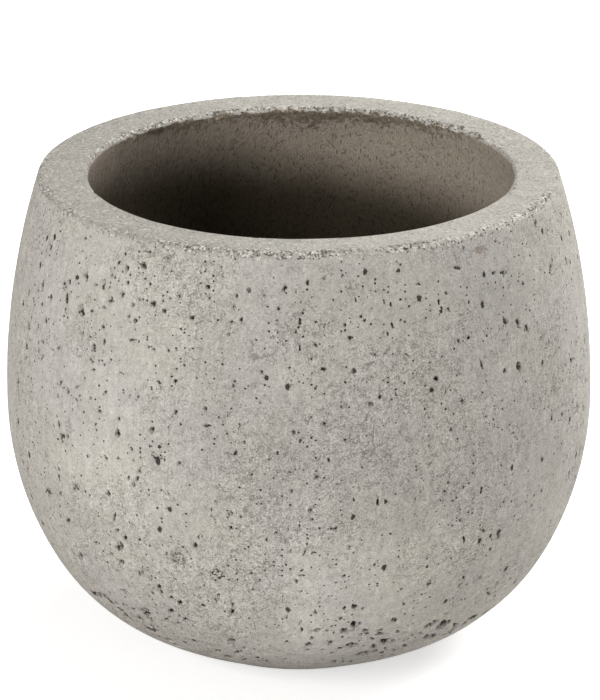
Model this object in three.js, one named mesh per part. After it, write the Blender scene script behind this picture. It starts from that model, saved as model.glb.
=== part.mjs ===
// Cast concrete bowl planter: a one-piece bowl with a ground rim, a rubber drain plug and four
// rubber floor pads.
//
// Millimetres, +Z up. The origin is on the floor, under the middle of the bowl.
//
// The bowl's outside stands upright at the belly. A long flat arc runs up from there to the rim. A
// haunch of two arcs, the lower one tighter, runs down into a shallow cone that ends at the foot.
// The inside follows the outside at an even wall, the way a shell laid against a mould does. The
// drain hole narrows downwards, so water presses its plug tighter, and a seat sunk in the inner
// floor takes the plug's flange.

import * as THREE from "three";

// ---------------------------------------------------------------- bowl
const HEIGHT = 300; // floor to rim
const BELLY_RADIUS = 180; // widest outside radius
const BELLY_HEIGHT = 156.5; // of that widest place above the floor
const RIM_CORNER_RADIUS = 157; // outside corner of the rim, before its edge is rounded
const FOOT_CORNER_RADIUS = 80; // outside corner of the foot, before its edge is rounded
const CONE_SLOPE = THREE.MathUtils.degToRad(26.5); // of the shallow cone above the foot
const CONE_LENGTH = 30; // up the cone, from the foot's corner to the haunch
const HAUNCH_RATIO = 0.7; // tangent length of the haunch's lower arc to that of its upper arc
const WALL = 28; // square to the skin
const BASE = 29; // concrete between the underside and the inner floor
const RIM_OUTER_ROUND = 4;
const RIM_INNER_ROUND = 3;
const FOOT_ROUND = 12;
const COVE_ROUND = 40; // where the inner cone runs into the inner floor

// Shallow recess round the drain, which keeps drips off the ring that the bowl stands on.
const RECESS_RADIUS = 44;
const RECESS_DEPTH = 3;
const RECESS_ROUND = 2.5;

// ---------------------------------------------------------------- drain and plug
const DRAIN_RADIUS = 15; // at the seat
const DRAIN_DRAFT = THREE.MathUtils.degToRad(3); // the core pin's taper
const DRAIN_EDGE_ROUND = 1.5;
const SEAT_CLEARANCE = 1.5; // round the flange
const SEAT_DROP = 0.7; // of the flange's top under the inner floor
const SEAT_EDGE_ROUND = 1.5;
const SEAT_COVE_ROUND = 1;

const PLUG_CLEARANCE = 0.3; // rib crest to drain wall
const PLUG_SEAT_GAP = 0.3; // flange to seat
const PLUG_STEM = 18; // below the flange
const PLUG_TIP_ROUND = 1.5;
const RIB_COUNT = 3;
const RIB_HEIGHT = 1.2;
const RIB_WIDTH = 2.6;
const FLANGE_OVERLAP = 6; // past the drain's edge
const FLANGE_THICKNESS = 3.5;
const FLANGE_ROUND = 1.2;
const GRIP_WAIST_RADIUS = 5;
const GRIP_WAIST_LENGTH = 8;
const GRIP_WAIST_ROUND = 2;
const GRIP_HEAD_RADIUS = 11;
const GRIP_HEAD_THICKNESS = 5;
const HOLLOW_RADIUS = 7; // of the hollow under the stem, which lets the rubber give
const HOLLOW_DEPTH = 13;

// ---------------------------------------------------------------- floor pads
const PAD_COUNT = 4;
const PAD_RADIUS = 11;
const PAD_THICKNESS = 3;
const PAD_ROUND = 0.8;
const PAD_GLUE = 0.3; // film between pad and concrete
const PAD_CIRCLE = 60; // radius of the circle through the pads' centres

// ---------------------------------------------------------------- facets
const CHORD_ERROR = 0.15; // most that a facet may cut off an arc of the outline
const SAME_POINT = 1e-6;
const BOWL_SIDES = 72;
const PLUG_SIDES = 32;
const PAD_SIDES = 24;

// ---------------------------------------------------------------- heights and radii that follow
const UNDERSIDE = PAD_THICKNESS + PAD_GLUE;
const INNER_FLOOR = UNDERSIDE + BASE;
const SEAT_FACE = INNER_FLOOR - SEAT_DROP - FLANGE_THICKNESS - PLUG_SEAT_GAP;
const RECESS_FACE = UNDERSIDE + RECESS_DEPTH;

const FLANGE_RADIUS = DRAIN_RADIUS + FLANGE_OVERLAP;
const SEAT_RADIUS = FLANGE_RADIUS + SEAT_CLEARANCE;

const UP = Math.PI / 2;
const DOWN = -Math.PI / 2;

const concrete = new THREE.MeshStandardMaterial({ color: 0xbab6ac, roughness: 0.92, metalness: 0 });
const rubber = new THREE.MeshStandardMaterial({ color: 0x232323, roughness: 0.6, metalness: 0 });
const padRubber = new THREE.MeshStandardMaterial({ color: 0x2c2a28, roughness: 0.8, metalness: 0 });

/** The upper arc of the skin: upright at the belly, and through the rim's corner. */
function shoulderArc() {
  const inset = BELLY_RADIUS - RIM_CORNER_RADIUS;
  const rise = HEIGHT - BELLY_HEIGHT;
  const radius = (inset ** 2 + rise ** 2) / (2 * inset);
  return { x: BELLY_RADIUS - radius, y: BELLY_HEIGHT, radius };
}

/**
 * The haunch: two arcs that meet without a kink, upright at the belly and in line with the cone at
 * their lower end. The tangents from each end to the bend between them set both radii.
 */
function haunchArcs() {
  const belly = new THREE.Vector2(BELLY_RADIUS, BELLY_HEIGHT);
  const coneTop = new THREE.Vector2(
    FOOT_CORNER_RADIUS + CONE_LENGTH * Math.cos(CONE_SLOPE),
    UNDERSIDE + CONE_LENGTH * Math.sin(CONE_SLOPE),
  );
  const down = new THREE.Vector2(0, -1);
  const inward = new THREE.Vector2(-Math.cos(CONE_SLOPE), -Math.sin(CONE_SLOPE));
  const chord = coneTop.clone().sub(belly);

  const squared = 2 * HAUNCH_RATIO * (1 - down.dot(inward));
  const linear = chord.dot(down) + HAUNCH_RATIO * chord.dot(inward);
  const upperTangent = (Math.sqrt(linear ** 2 + squared * chord.lengthSq()) - linear) / squared;
  const lowerTangent = HAUNCH_RATIO * upperTangent;
  const bend = coneTop.clone().addScaledVector(inward, -lowerTangent)
    .sub(belly.clone().addScaledVector(down, upperTangent));

  const meet = bend.angle() - 1.5 * Math.PI; // below level, where the two arcs touch
  const end = DOWN + CONE_SLOPE;
  const upper = upperTangent / Math.tan(-meet / 2);
  const lower = lowerTangent / Math.tan((meet - end) / 2);
  const x = BELLY_RADIUS - upper;
  return [
    { x, y: BELLY_HEIGHT, radius: upper, from: meet, to: 0 },
    {
      x: x + (upper - lower) * Math.cos(meet),
      y: BELLY_HEIGHT + (upper - lower) * Math.sin(meet),
      radius: lower,
      from: end,
      to: meet,
    },
  ];
}

/** The same arc at a depth under the skin. */
function under(arc, depth) {
  return { ...arc, radius: arc.radius - depth };
}

/**
 * The round between the shoulder arc and the rim's level face. Its centre lies inside the arc, or
 * outside it where side is -1. meet is the angle at which the two touch, seen from the arc's centre.
 */
function rimRound(arc, radius, side) {
  const reach = arc.radius - side * radius;
  const rise = HEIGHT - radius - arc.y;
  const run = Math.sqrt(reach ** 2 - rise ** 2);
  return { x: arc.x + run, y: HEIGHT - radius, radius, meet: Math.atan2(rise, run) };
}

/** The round between a level face and the cone at a depth under the skin. */
function coneRound(level, depth, radius) {
  const corner = FOOT_CORNER_RADIUS + (level - UNDERSIDE) / Math.tan(CONE_SLOPE)
    - depth / Math.sin(CONE_SLOPE);
  return { x: corner - radius * Math.tan(CONE_SLOPE / 2), y: level + radius, radius };
}

/** Adds an arc to an outline, anticlockwise unless turn is -1. */
function addArc(outline, arc, from, to, turn = 1) {
  outline.absarc(arc.x, arc.y, arc.radius, from, to, turn < 0);
}

/** How many facets an outline's curve needs: one for a line, more for a longer arc. */
function facetsOf(curve) {
  if (!curve.isEllipseCurve) return 1;
  const sweep = curve.getLength() / curve.xRadius;
  const step = 2 * Math.acos(1 - CHORD_ERROR / curve.xRadius);
  return Math.ceil(sweep / step);
}

/** An outline's points, without the doubles where one curve ends and the next begins. */
function pointsOf(outline) {
  const points = outline.curves.flatMap((curve) => curve.getPoints(facetsOf(curve)));
  return points.filter((point, index) => index === 0 || point.distanceTo(points[index - 1]) > SAME_POINT);
}

/** A solid turned about the Z axis. Its outline runs up the outside and down any inside. */
function turned(name, outline, sides, material) {
  const geometry = new THREE.LatheGeometry(pointsOf(outline), sides).rotateX(UP);
  const mesh = new THREE.Mesh(geometry, material);
  mesh.name = name;
  return mesh;
}

/** The drain hole's radius at a height. */
function drainRadius(height) {
  return DRAIN_RADIUS - (SEAT_FACE - height) * Math.tan(DRAIN_DRAFT);
}

/** The seat for the plug's flange, from the inner floor down to the drain hole. */
function addSeat(outline) {
  const edge = {
    x: SEAT_RADIUS + SEAT_EDGE_ROUND,
    y: INNER_FLOOR - SEAT_EDGE_ROUND,
    radius: SEAT_EDGE_ROUND,
  };
  const cove = {
    x: SEAT_RADIUS - SEAT_COVE_ROUND,
    y: SEAT_FACE + SEAT_COVE_ROUND,
    radius: SEAT_COVE_ROUND,
  };
  const drainEdge = {
    x: DRAIN_RADIUS + (DRAIN_EDGE_ROUND * (1 - Math.sin(DRAIN_DRAFT))) / Math.cos(DRAIN_DRAFT),
    y: SEAT_FACE - DRAIN_EDGE_ROUND,
    radius: DRAIN_EDGE_ROUND,
  };
  addArc(outline, edge, UP, Math.PI);
  addArc(outline, cove, 0, DOWN, -1);
  addArc(outline, drainEdge, UP, Math.PI - DRAIN_DRAFT);
}

/** The bowl: one closed outline round the wall, the base and the drain hole. */
function makeBowl() {
  const shoulder = shoulderArc();
  const [haunch, turn] = haunchArcs();
  const innerShoulder = under(shoulder, WALL);
  const rimOuter = rimRound(shoulder, RIM_OUTER_ROUND, 1);
  const rimInner = rimRound(innerShoulder, RIM_INNER_ROUND, -1);
  const foot = coneRound(UNDERSIDE, 0, FOOT_ROUND);
  const cove = coneRound(INNER_FLOOR, WALL, COVE_ROUND);
  const recess = {
    x: RECESS_RADIUS - RECESS_ROUND,
    y: RECESS_FACE - RECESS_ROUND,
    radius: RECESS_ROUND,
  };

  const outline = new THREE.Path();
  outline.moveTo(RECESS_RADIUS, UNDERSIDE);
  outline.lineTo(foot.x, UNDERSIDE);
  addArc(outline, foot, DOWN, DOWN + CONE_SLOPE);
  addArc(outline, turn, turn.from, turn.to);
  addArc(outline, haunch, haunch.from, haunch.to);
  addArc(outline, shoulder, 0, rimOuter.meet);
  addArc(outline, rimOuter, rimOuter.meet, UP);
  addArc(outline, rimInner, UP, rimInner.meet + Math.PI);
  addArc(outline, innerShoulder, rimInner.meet, 0, -1);
  addArc(outline, under(haunch, WALL), haunch.to, haunch.from, -1);
  addArc(outline, under(turn, WALL), turn.to, turn.from, -1);
  addArc(outline, cove, DOWN + CONE_SLOPE, DOWN, -1);
  addSeat(outline);
  outline.lineTo(drainRadius(RECESS_FACE), RECESS_FACE);
  addArc(outline, recess, UP, 0, -1);
  outline.lineTo(RECESS_RADIUS, UNDERSIDE);
  return turned("planter_bowl", outline, BOWL_SIDES, concrete);
}

/** Adds the stem's sealing ribs to an outline, from the tip up to the flange. */
function addRibs(outline, crestRadius) {
  const pitch = PLUG_STEM / (RIB_COUNT + 0.5);
  for (let rib = 1; rib <= RIB_COUNT; rib++) {
    const middle = rib * pitch - PLUG_STEM;
    for (const [across, height] of [[-1 / 2, RIB_HEIGHT], [-1 / 6, 0], [1 / 6, 0], [1 / 2, RIB_HEIGHT]]) {
      const level = middle + across * RIB_WIDTH;
      outline.lineTo(crestRadius(level) - height, level);
    }
  }
}

/** The drain plug. Its own zero height is the flange's underside. */
function makePlug() {
  const crestRadius = (level) => DRAIN_RADIUS + level * Math.tan(DRAIN_DRAFT) - PLUG_CLEARANCE;
  const tipRadius = crestRadius(-PLUG_STEM) - RIB_HEIGHT;
  const headFoot = FLANGE_THICKNESS + GRIP_WAIST_LENGTH;
  const headRound = GRIP_HEAD_THICKNESS / 2;
  const hollowTop = HOLLOW_DEPTH - PLUG_STEM;

  const outline = new THREE.Path();
  outline.moveTo(0, hollowTop);
  outline.absarc(0, hollowTop - HOLLOW_RADIUS, HOLLOW_RADIUS, UP, 0, true);
  outline.lineTo(HOLLOW_RADIUS, -PLUG_STEM);
  outline.absarc(tipRadius - PLUG_TIP_ROUND, PLUG_TIP_ROUND - PLUG_STEM, PLUG_TIP_ROUND, DOWN, 0);
  addRibs(outline, crestRadius);
  outline.lineTo(crestRadius(0) - RIB_HEIGHT, 0);
  outline.absarc(FLANGE_RADIUS - FLANGE_ROUND, FLANGE_ROUND, FLANGE_ROUND, DOWN, 0);
  outline.absarc(FLANGE_RADIUS - FLANGE_ROUND, FLANGE_THICKNESS - FLANGE_ROUND, FLANGE_ROUND, 0, UP);
  outline.absarc(
    GRIP_WAIST_RADIUS + GRIP_WAIST_ROUND, FLANGE_THICKNESS + GRIP_WAIST_ROUND, GRIP_WAIST_ROUND,
    DOWN, Math.PI, true,
  );
  outline.absarc(
    GRIP_WAIST_RADIUS + GRIP_WAIST_ROUND, headFoot - GRIP_WAIST_ROUND, GRIP_WAIST_ROUND,
    Math.PI, UP, true,
  );
  outline.absarc(GRIP_HEAD_RADIUS - headRound, headFoot + headRound, headRound, DOWN, UP);
  outline.lineTo(0, headFoot + GRIP_HEAD_THICKNESS);

  const plug = turned("drain_plug", outline, PLUG_SIDES, rubber);
  plug.position.z = SEAT_FACE + PLUG_SEAT_GAP;
  return plug;
}

/** One floor pad: a disc with its lower edge rounded. */
function makePad(number) {
  const outline = new THREE.Path();
  outline.moveTo(0, 0);
  outline.lineTo(PAD_RADIUS - PAD_ROUND, 0);
  outline.absarc(PAD_RADIUS - PAD_ROUND, PAD_ROUND, PAD_ROUND, DOWN, 0);
  outline.lineTo(PAD_RADIUS, PAD_THICKNESS);
  outline.lineTo(0, PAD_THICKNESS);
  return turned(`floor_pad_${number}`, outline, PAD_SIDES, padRubber);
}

/** The pads, evenly spaced on a circle under the ring that the bowl stands on. */
function makePads() {
  const pads = new THREE.Group();
  for (let index = 0; index < PAD_COUNT; index++) {
    const angle = (index * 2 * Math.PI) / PAD_COUNT;
    const pad = makePad(index + 1);
    pad.position.set(PAD_CIRCLE * Math.cos(angle), PAD_CIRCLE * Math.sin(angle), 0);
    pads.add(pad);
  }
  return pads;
}

const planter = new THREE.Group();
planter.add(makeBowl(), makePlug(), makePads());

export default planter;
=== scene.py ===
"""Looks of a cast concrete bowl planter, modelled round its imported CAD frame. Metres, +Z up."""

import logging
import math
import random
from dataclasses import dataclass, field
from enum import Enum
from typing import Callable

import bmesh
import bpy
import numpy as np
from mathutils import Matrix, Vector, noise


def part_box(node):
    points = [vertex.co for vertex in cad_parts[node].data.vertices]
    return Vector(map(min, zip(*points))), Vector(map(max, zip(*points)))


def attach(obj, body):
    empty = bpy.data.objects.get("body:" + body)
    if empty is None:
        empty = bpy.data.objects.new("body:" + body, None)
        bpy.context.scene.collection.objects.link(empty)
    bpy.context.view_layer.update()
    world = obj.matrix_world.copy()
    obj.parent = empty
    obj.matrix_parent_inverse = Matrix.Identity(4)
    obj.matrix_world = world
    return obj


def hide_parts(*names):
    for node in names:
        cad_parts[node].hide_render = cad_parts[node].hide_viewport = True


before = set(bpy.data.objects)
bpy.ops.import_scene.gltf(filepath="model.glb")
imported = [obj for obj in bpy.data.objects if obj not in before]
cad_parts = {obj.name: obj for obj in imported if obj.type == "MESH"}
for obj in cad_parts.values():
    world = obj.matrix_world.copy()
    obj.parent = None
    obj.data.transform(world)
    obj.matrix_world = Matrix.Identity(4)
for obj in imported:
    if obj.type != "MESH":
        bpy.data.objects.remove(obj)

LOG = logging.getLogger("planter")
MM = 0.001
SAME_POINT = 0.01 * MM
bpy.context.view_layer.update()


# ------------------------------------------------------------------------------------------ names


class Region(Enum):
    """The stretches of the bowl's outline, in the order in which it is drawn."""

    UNDERSIDE = "underside"
    SKIN = "skin"
    RIM = "rim"
    INSIDE = "inside"
    DRAIN = "drain"


class VoidKind(Enum):
    """The kinds of blemish that air and a rough mould leave in cast concrete."""

    HOLE = "deep air void with a dark mouth"
    HOLLOW = "shallow ragged hollow"
    SLIT = "thin torn slit"
    CRATER = "ring left round a burst bubble"
    CHIP = "chip knocked out of an edge"
    STAIN = "brown stain, level with the skin"
    PEBBLE = "dark stone, ground flat with the rim"


# ------------------------------------------------------------------------------------------ section


@dataclass(frozen=True)
class Arc:
    """A round stretch of an outline: x runs out from the bowl's axis, y is height."""

    x: float
    y: float
    radius: float
    start: float
    end: float

    def points(self, spacing: float) -> list[tuple[float, float]]:
        """Walks the arc.

        Args:
            spacing: The longest step between two points, in metres.

        Returns:
            Points from the arc's start to its end.
        """
        count = max(2, math.ceil(abs(self.end - self.start) * self.radius / spacing))
        sweep = [self.start + (self.end - self.start) * i / count for i in range(count + 1)]
        return [(self.x + self.radius * math.cos(a), self.y + self.radius * math.sin(a)) for a in sweep]

    def sunk(self, depth: float) -> "Arc":
        """The same arc walked backwards, at a depth under the skin."""
        return Arc(self.x, self.y, self.radius - depth, self.end, self.start)


@dataclass(frozen=True)
class Line:
    """A straight stretch of an outline."""

    start: tuple[float, float]
    end: tuple[float, float]

    def points(self, spacing: float) -> list[tuple[float, float]]:
        """Walks the line.

        Args:
            spacing: The longest step between two points, in metres.

        Returns:
            Points from the line's start to its end.
        """
        count = max(1, math.ceil(math.dist(self.start, self.end) / spacing))
        return [
            tuple(a + (b - a) * i / count for a, b in zip(self.start, self.end)) for i in range(count + 1)
        ]


@dataclass(frozen=True)
class BowlSection:
    """The bowl's wall, cut through its axis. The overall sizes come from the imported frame."""

    height: float
    belly_radius: float
    underside: float
    belly_height: float = 0.1565
    rim_corner_radius: float = 0.157
    foot_corner_radius: float = 0.080
    cone_slope: float = math.radians(26.5)
    cone_length: float = 0.030
    haunch_ratio: float = 0.7
    wall: float = 0.028
    base: float = 0.029
    rim_outer_round: float = 0.004
    rim_inner_round: float = 0.003
    foot_round: float = 0.012
    cove_round: float = 0.040
    recess_radius: float = 0.044
    recess_depth: float = 0.003
    recess_round: float = 0.0025
    drain_radius: float = 0.015
    drain_draft: float = math.radians(3)
    seat_radius: float = 0.0225
    seat_depth: float = 0.0045
    edge_round: float = 0.0015

    @property
    def inner_floor(self) -> float:
        """Height of the level floor inside the bowl."""
        return self.underside + self.base

    def shoulder(self) -> Arc:
        """The skin above the belly.

        Returns:
            An arc that is upright at the belly and goes through the rim's corner.
        """
        inset = self.belly_radius - self.rim_corner_radius
        rise = self.height - self.belly_height
        radius = (inset**2 + rise**2) / (2 * inset)
        return Arc(self.belly_radius - radius, self.belly_height, radius, 0, math.asin(rise / radius))

    def haunch(self) -> tuple[Arc, Arc]:
        """The skin between belly and cone: two arcs that meet without a kink.

        Returns:
            The upper arc and the tighter lower arc, each walked upwards.
        """
        belly = Vector((self.belly_radius, self.belly_height))
        slope = Vector((math.cos(self.cone_slope), math.sin(self.cone_slope)))
        cone_top = Vector((self.foot_corner_radius, self.underside)) + slope * self.cone_length
        down, inward, chord = Vector((0, -1)), -slope, cone_top - belly
        squared = 2 * self.haunch_ratio * (1 - down.dot(inward))
        linear = chord.dot(down) + self.haunch_ratio * chord.dot(inward)
        upper_tangent = (math.sqrt(linear**2 + squared * chord.length_squared) - linear) / squared
        lower_tangent = self.haunch_ratio * upper_tangent
        bend = cone_top - inward * lower_tangent - belly - down * upper_tangent
        meet = math.atan2(bend.y, bend.x) + math.pi / 2
        end = self.cone_slope - math.pi / 2
        upper = upper_tangent / math.tan(-meet / 2)
        lower = lower_tangent / math.tan((meet - end) / 2)
        x = self.belly_radius - upper
        turn_x = x + (upper - lower) * math.cos(meet)
        turn_y = self.belly_height + (upper - lower) * math.sin(meet)
        return Arc(x, self.belly_height, upper, meet, 0), Arc(turn_x, turn_y, lower, end, meet)

    def rim_round(self, arc: Arc, radius: float, side: int) -> tuple[Arc, float]:
        """The round between a shoulder arc and the rim's level face.

        Args:
            arc: The shoulder's skin, outside or inside.
            radius: Of the round.
            side: 1 where the round lies inside the shoulder arc, -1 where it lies outside.

        Returns:
            The round, from the shoulder to the level face, and the angle at which it meets the shoulder.
        """
        reach = arc.radius - side * radius
        rise = self.height - radius - arc.y
        run = math.sqrt(reach**2 - rise**2)
        meet = math.atan2(rise, run)
        start = meet if side > 0 else meet + math.pi
        return Arc(arc.x + run, self.height - radius, radius, start, math.pi / 2), meet

    def cone_round(self, level: float, depth: float, radius: float) -> Arc:
        """The round between a level face and the cone.

        Args:
            level: Height of the level face.
            depth: How far under the skin the cone lies.
            radius: Of the round.

        Returns:
            The round, walked outwards.
        """
        corner = self.foot_corner_radius + (level - self.underside) / math.tan(self.cone_slope)
        corner -= depth / math.sin(self.cone_slope)
        x = corner - radius * math.tan(self.cone_slope / 2)
        return Arc(x, level + radius, radius, -math.pi / 2, self.cone_slope - math.pi / 2)

    def stretches(self) -> list[tuple[Region, float, Arc | Line]]:
        """The closed outline, from the drain's lower edge round the outside and back down the inside.

        Returns:
            Each stretch with its region and the longest step between its points.
        """
        shoulder, (haunch, turn) = self.shoulder(), self.haunch()
        inner = Arc(shoulder.x, shoulder.y, shoulder.radius - self.wall, shoulder.start, shoulder.end)
        outer_round, outer_meet = self.rim_round(shoulder, self.rim_outer_round, 1)
        inner_round, inner_meet = self.rim_round(inner, self.rim_inner_round, -1)
        foot = self.cone_round(self.underside, 0, self.foot_round)
        cove = self.cone_round(self.inner_floor, self.wall, self.cove_round)
        quarter = math.pi / 2
        seat = self.inner_floor - self.seat_depth
        recess_face = self.underside + self.recess_depth
        drain_foot = self.drain_radius - (seat - recess_face) * math.tan(self.drain_draft)
        turn_in, edge = self.recess_round, self.edge_round
        recess = Arc(self.recess_radius - turn_in, recess_face - turn_in, turn_in, quarter, 0)
        drain_edge = Arc(self.drain_radius + edge, seat - edge, edge, quarter, math.pi - self.drain_draft)
        seat_edge = Arc(self.seat_radius + edge, self.inner_floor - edge, edge, quarter, math.pi)
        seat_cove = Arc(self.seat_radius - MM, seat + MM, MM, 0, -quarter)
        lip = Arc(inner_round.x, inner_round.y, inner_round.radius, quarter, inner_round.start)
        return [
            (Region.UNDERSIDE, 0.008, Line((drain_foot, recess_face), (recess.x, recess_face))),
            (Region.UNDERSIDE, 0.0015, recess),
            (Region.UNDERSIDE, 0.006, Line((self.recess_radius, self.underside), (foot.x, self.underside))),
            (Region.SKIN, 0.003, foot),
            (Region.SKIN, 0.0055, turn),
            (Region.SKIN, 0.0055, haunch),
            (Region.SKIN, 0.0055, Arc(shoulder.x, shoulder.y, shoulder.radius, 0, outer_meet)),
            (Region.RIM, 0.0013, outer_round),
            (Region.RIM, 0.0024, Line((outer_round.x, self.height), (inner_round.x, self.height))),
            (Region.RIM, 0.0013, lip),
            (Region.INSIDE, 0.0085, Arc(inner.x, inner.y, inner.radius, inner_meet, 0)),
            (Region.INSIDE, 0.0085, haunch.sunk(self.wall)),
            (Region.INSIDE, 0.0085, turn.sunk(self.wall)),
            (Region.INSIDE, 0.0085, Arc(cove.x, cove.y, cove.radius, cove.end, cove.start)),
            (Region.INSIDE, 0.009, Line((cove.x, self.inner_floor), (seat_edge.x, self.inner_floor))),
            (Region.DRAIN, 0.0008, seat_edge),
            (Region.DRAIN, 0.0008, seat_cove),
            (Region.DRAIN, 0.004, Line((seat_cove.x, seat), (drain_edge.x, seat))),
            (Region.DRAIN, 0.0008, drain_edge),
            (Region.DRAIN, 0.005, Line(drain_edge.points(1)[-1], (drain_foot, recess_face))),
        ]

    def skin(self) -> np.ndarray:
        """The skin's outline from foot to rim, as rows of radius and height."""
        walk = [p for region, _, part in self.stretches() if region is Region.SKIN for p in part.points(MM)]
        return np.array(walk)


# ------------------------------------------------------------------------------------------ camera


@dataclass(frozen=True)
class PhotoView:
    """The photograph's camera. Pixels are those of its 600 by 700 frame."""

    width: int = 600
    height: int = 700
    focal_px: float = 3506.8
    pitch: float = math.radians(20.678)
    position: tuple[float, float, float] = (0.0008, -2.0208, 0.9449)
    sensor_mm: float = 36.0

    def axes(self) -> tuple[Vector, Vector, Vector]:
        """The camera's right, up and forward directions."""
        sin, cos = math.sin(self.pitch), math.cos(self.pitch)
        return Vector((1, 0, 0)), Vector((0, sin, cos)), Vector((0, cos, -sin))

    def ray(self, x: float, y: float) -> Vector:
        """The direction from the camera through a pixel.

        Args:
            x: The pixel's distance from the picture's left edge.
            y: Its distance from the picture's top edge.

        Returns:
            The direction, one metre long.
        """
        right, up, forward = self.axes()
        across, down = x - self.width / 2, y - self.height / 2
        return (forward * self.focal_px + right * across - up * down).normalized()

    def pixel(self, point: Vector) -> Vector:
        """The pixel at which a point shows.

        Args:
            point: Somewhere in front of the camera.

        Returns:
            The pixel, from the picture's top left corner.
        """
        right, up, forward = self.axes()
        offset = point - Vector(self.position)
        scale = self.focal_px / offset.dot(forward)
        across, down = offset.dot(right) * scale, -offset.dot(up) * scale
        return Vector((self.width / 2 + across, self.height / 2 + down))

    def build(self) -> bpy.types.Object:
        """Makes the scene's camera.

        Returns:
            The camera object.
        """
        data = bpy.data.cameras.new("photo_view")
        data.sensor_width = self.sensor_mm
        data.lens = self.focal_px * self.sensor_mm / max(self.width, self.height)
        camera = bpy.data.objects.new("photo_view", data)
        camera.location = self.position
        camera.rotation_euler = (math.pi / 2 - self.pitch, 0, 0)
        bpy.context.scene.collection.objects.link(camera)
        bpy.context.scene.camera = camera
        return camera


# ------------------------------------------------------------------------------------------ blemishes


@dataclass(frozen=True)
class Mark:
    """A blemish that the photograph shows: its middle and its width and height, in pixels."""

    x: float
    y: float
    wide: float
    tall: float
    lean: float = 0  # degrees, clockwise


@dataclass(frozen=True)
class Void:
    """A blemish on the bowl.

    Its shape is a matrix that turns an offset along across and up, in metres, into parts of its half size.
    """

    kind: VoidKind
    centre: Vector
    normal: Vector
    across: Vector
    up: Vector
    shape: np.ndarray
    reach: float
    depth: float


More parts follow.
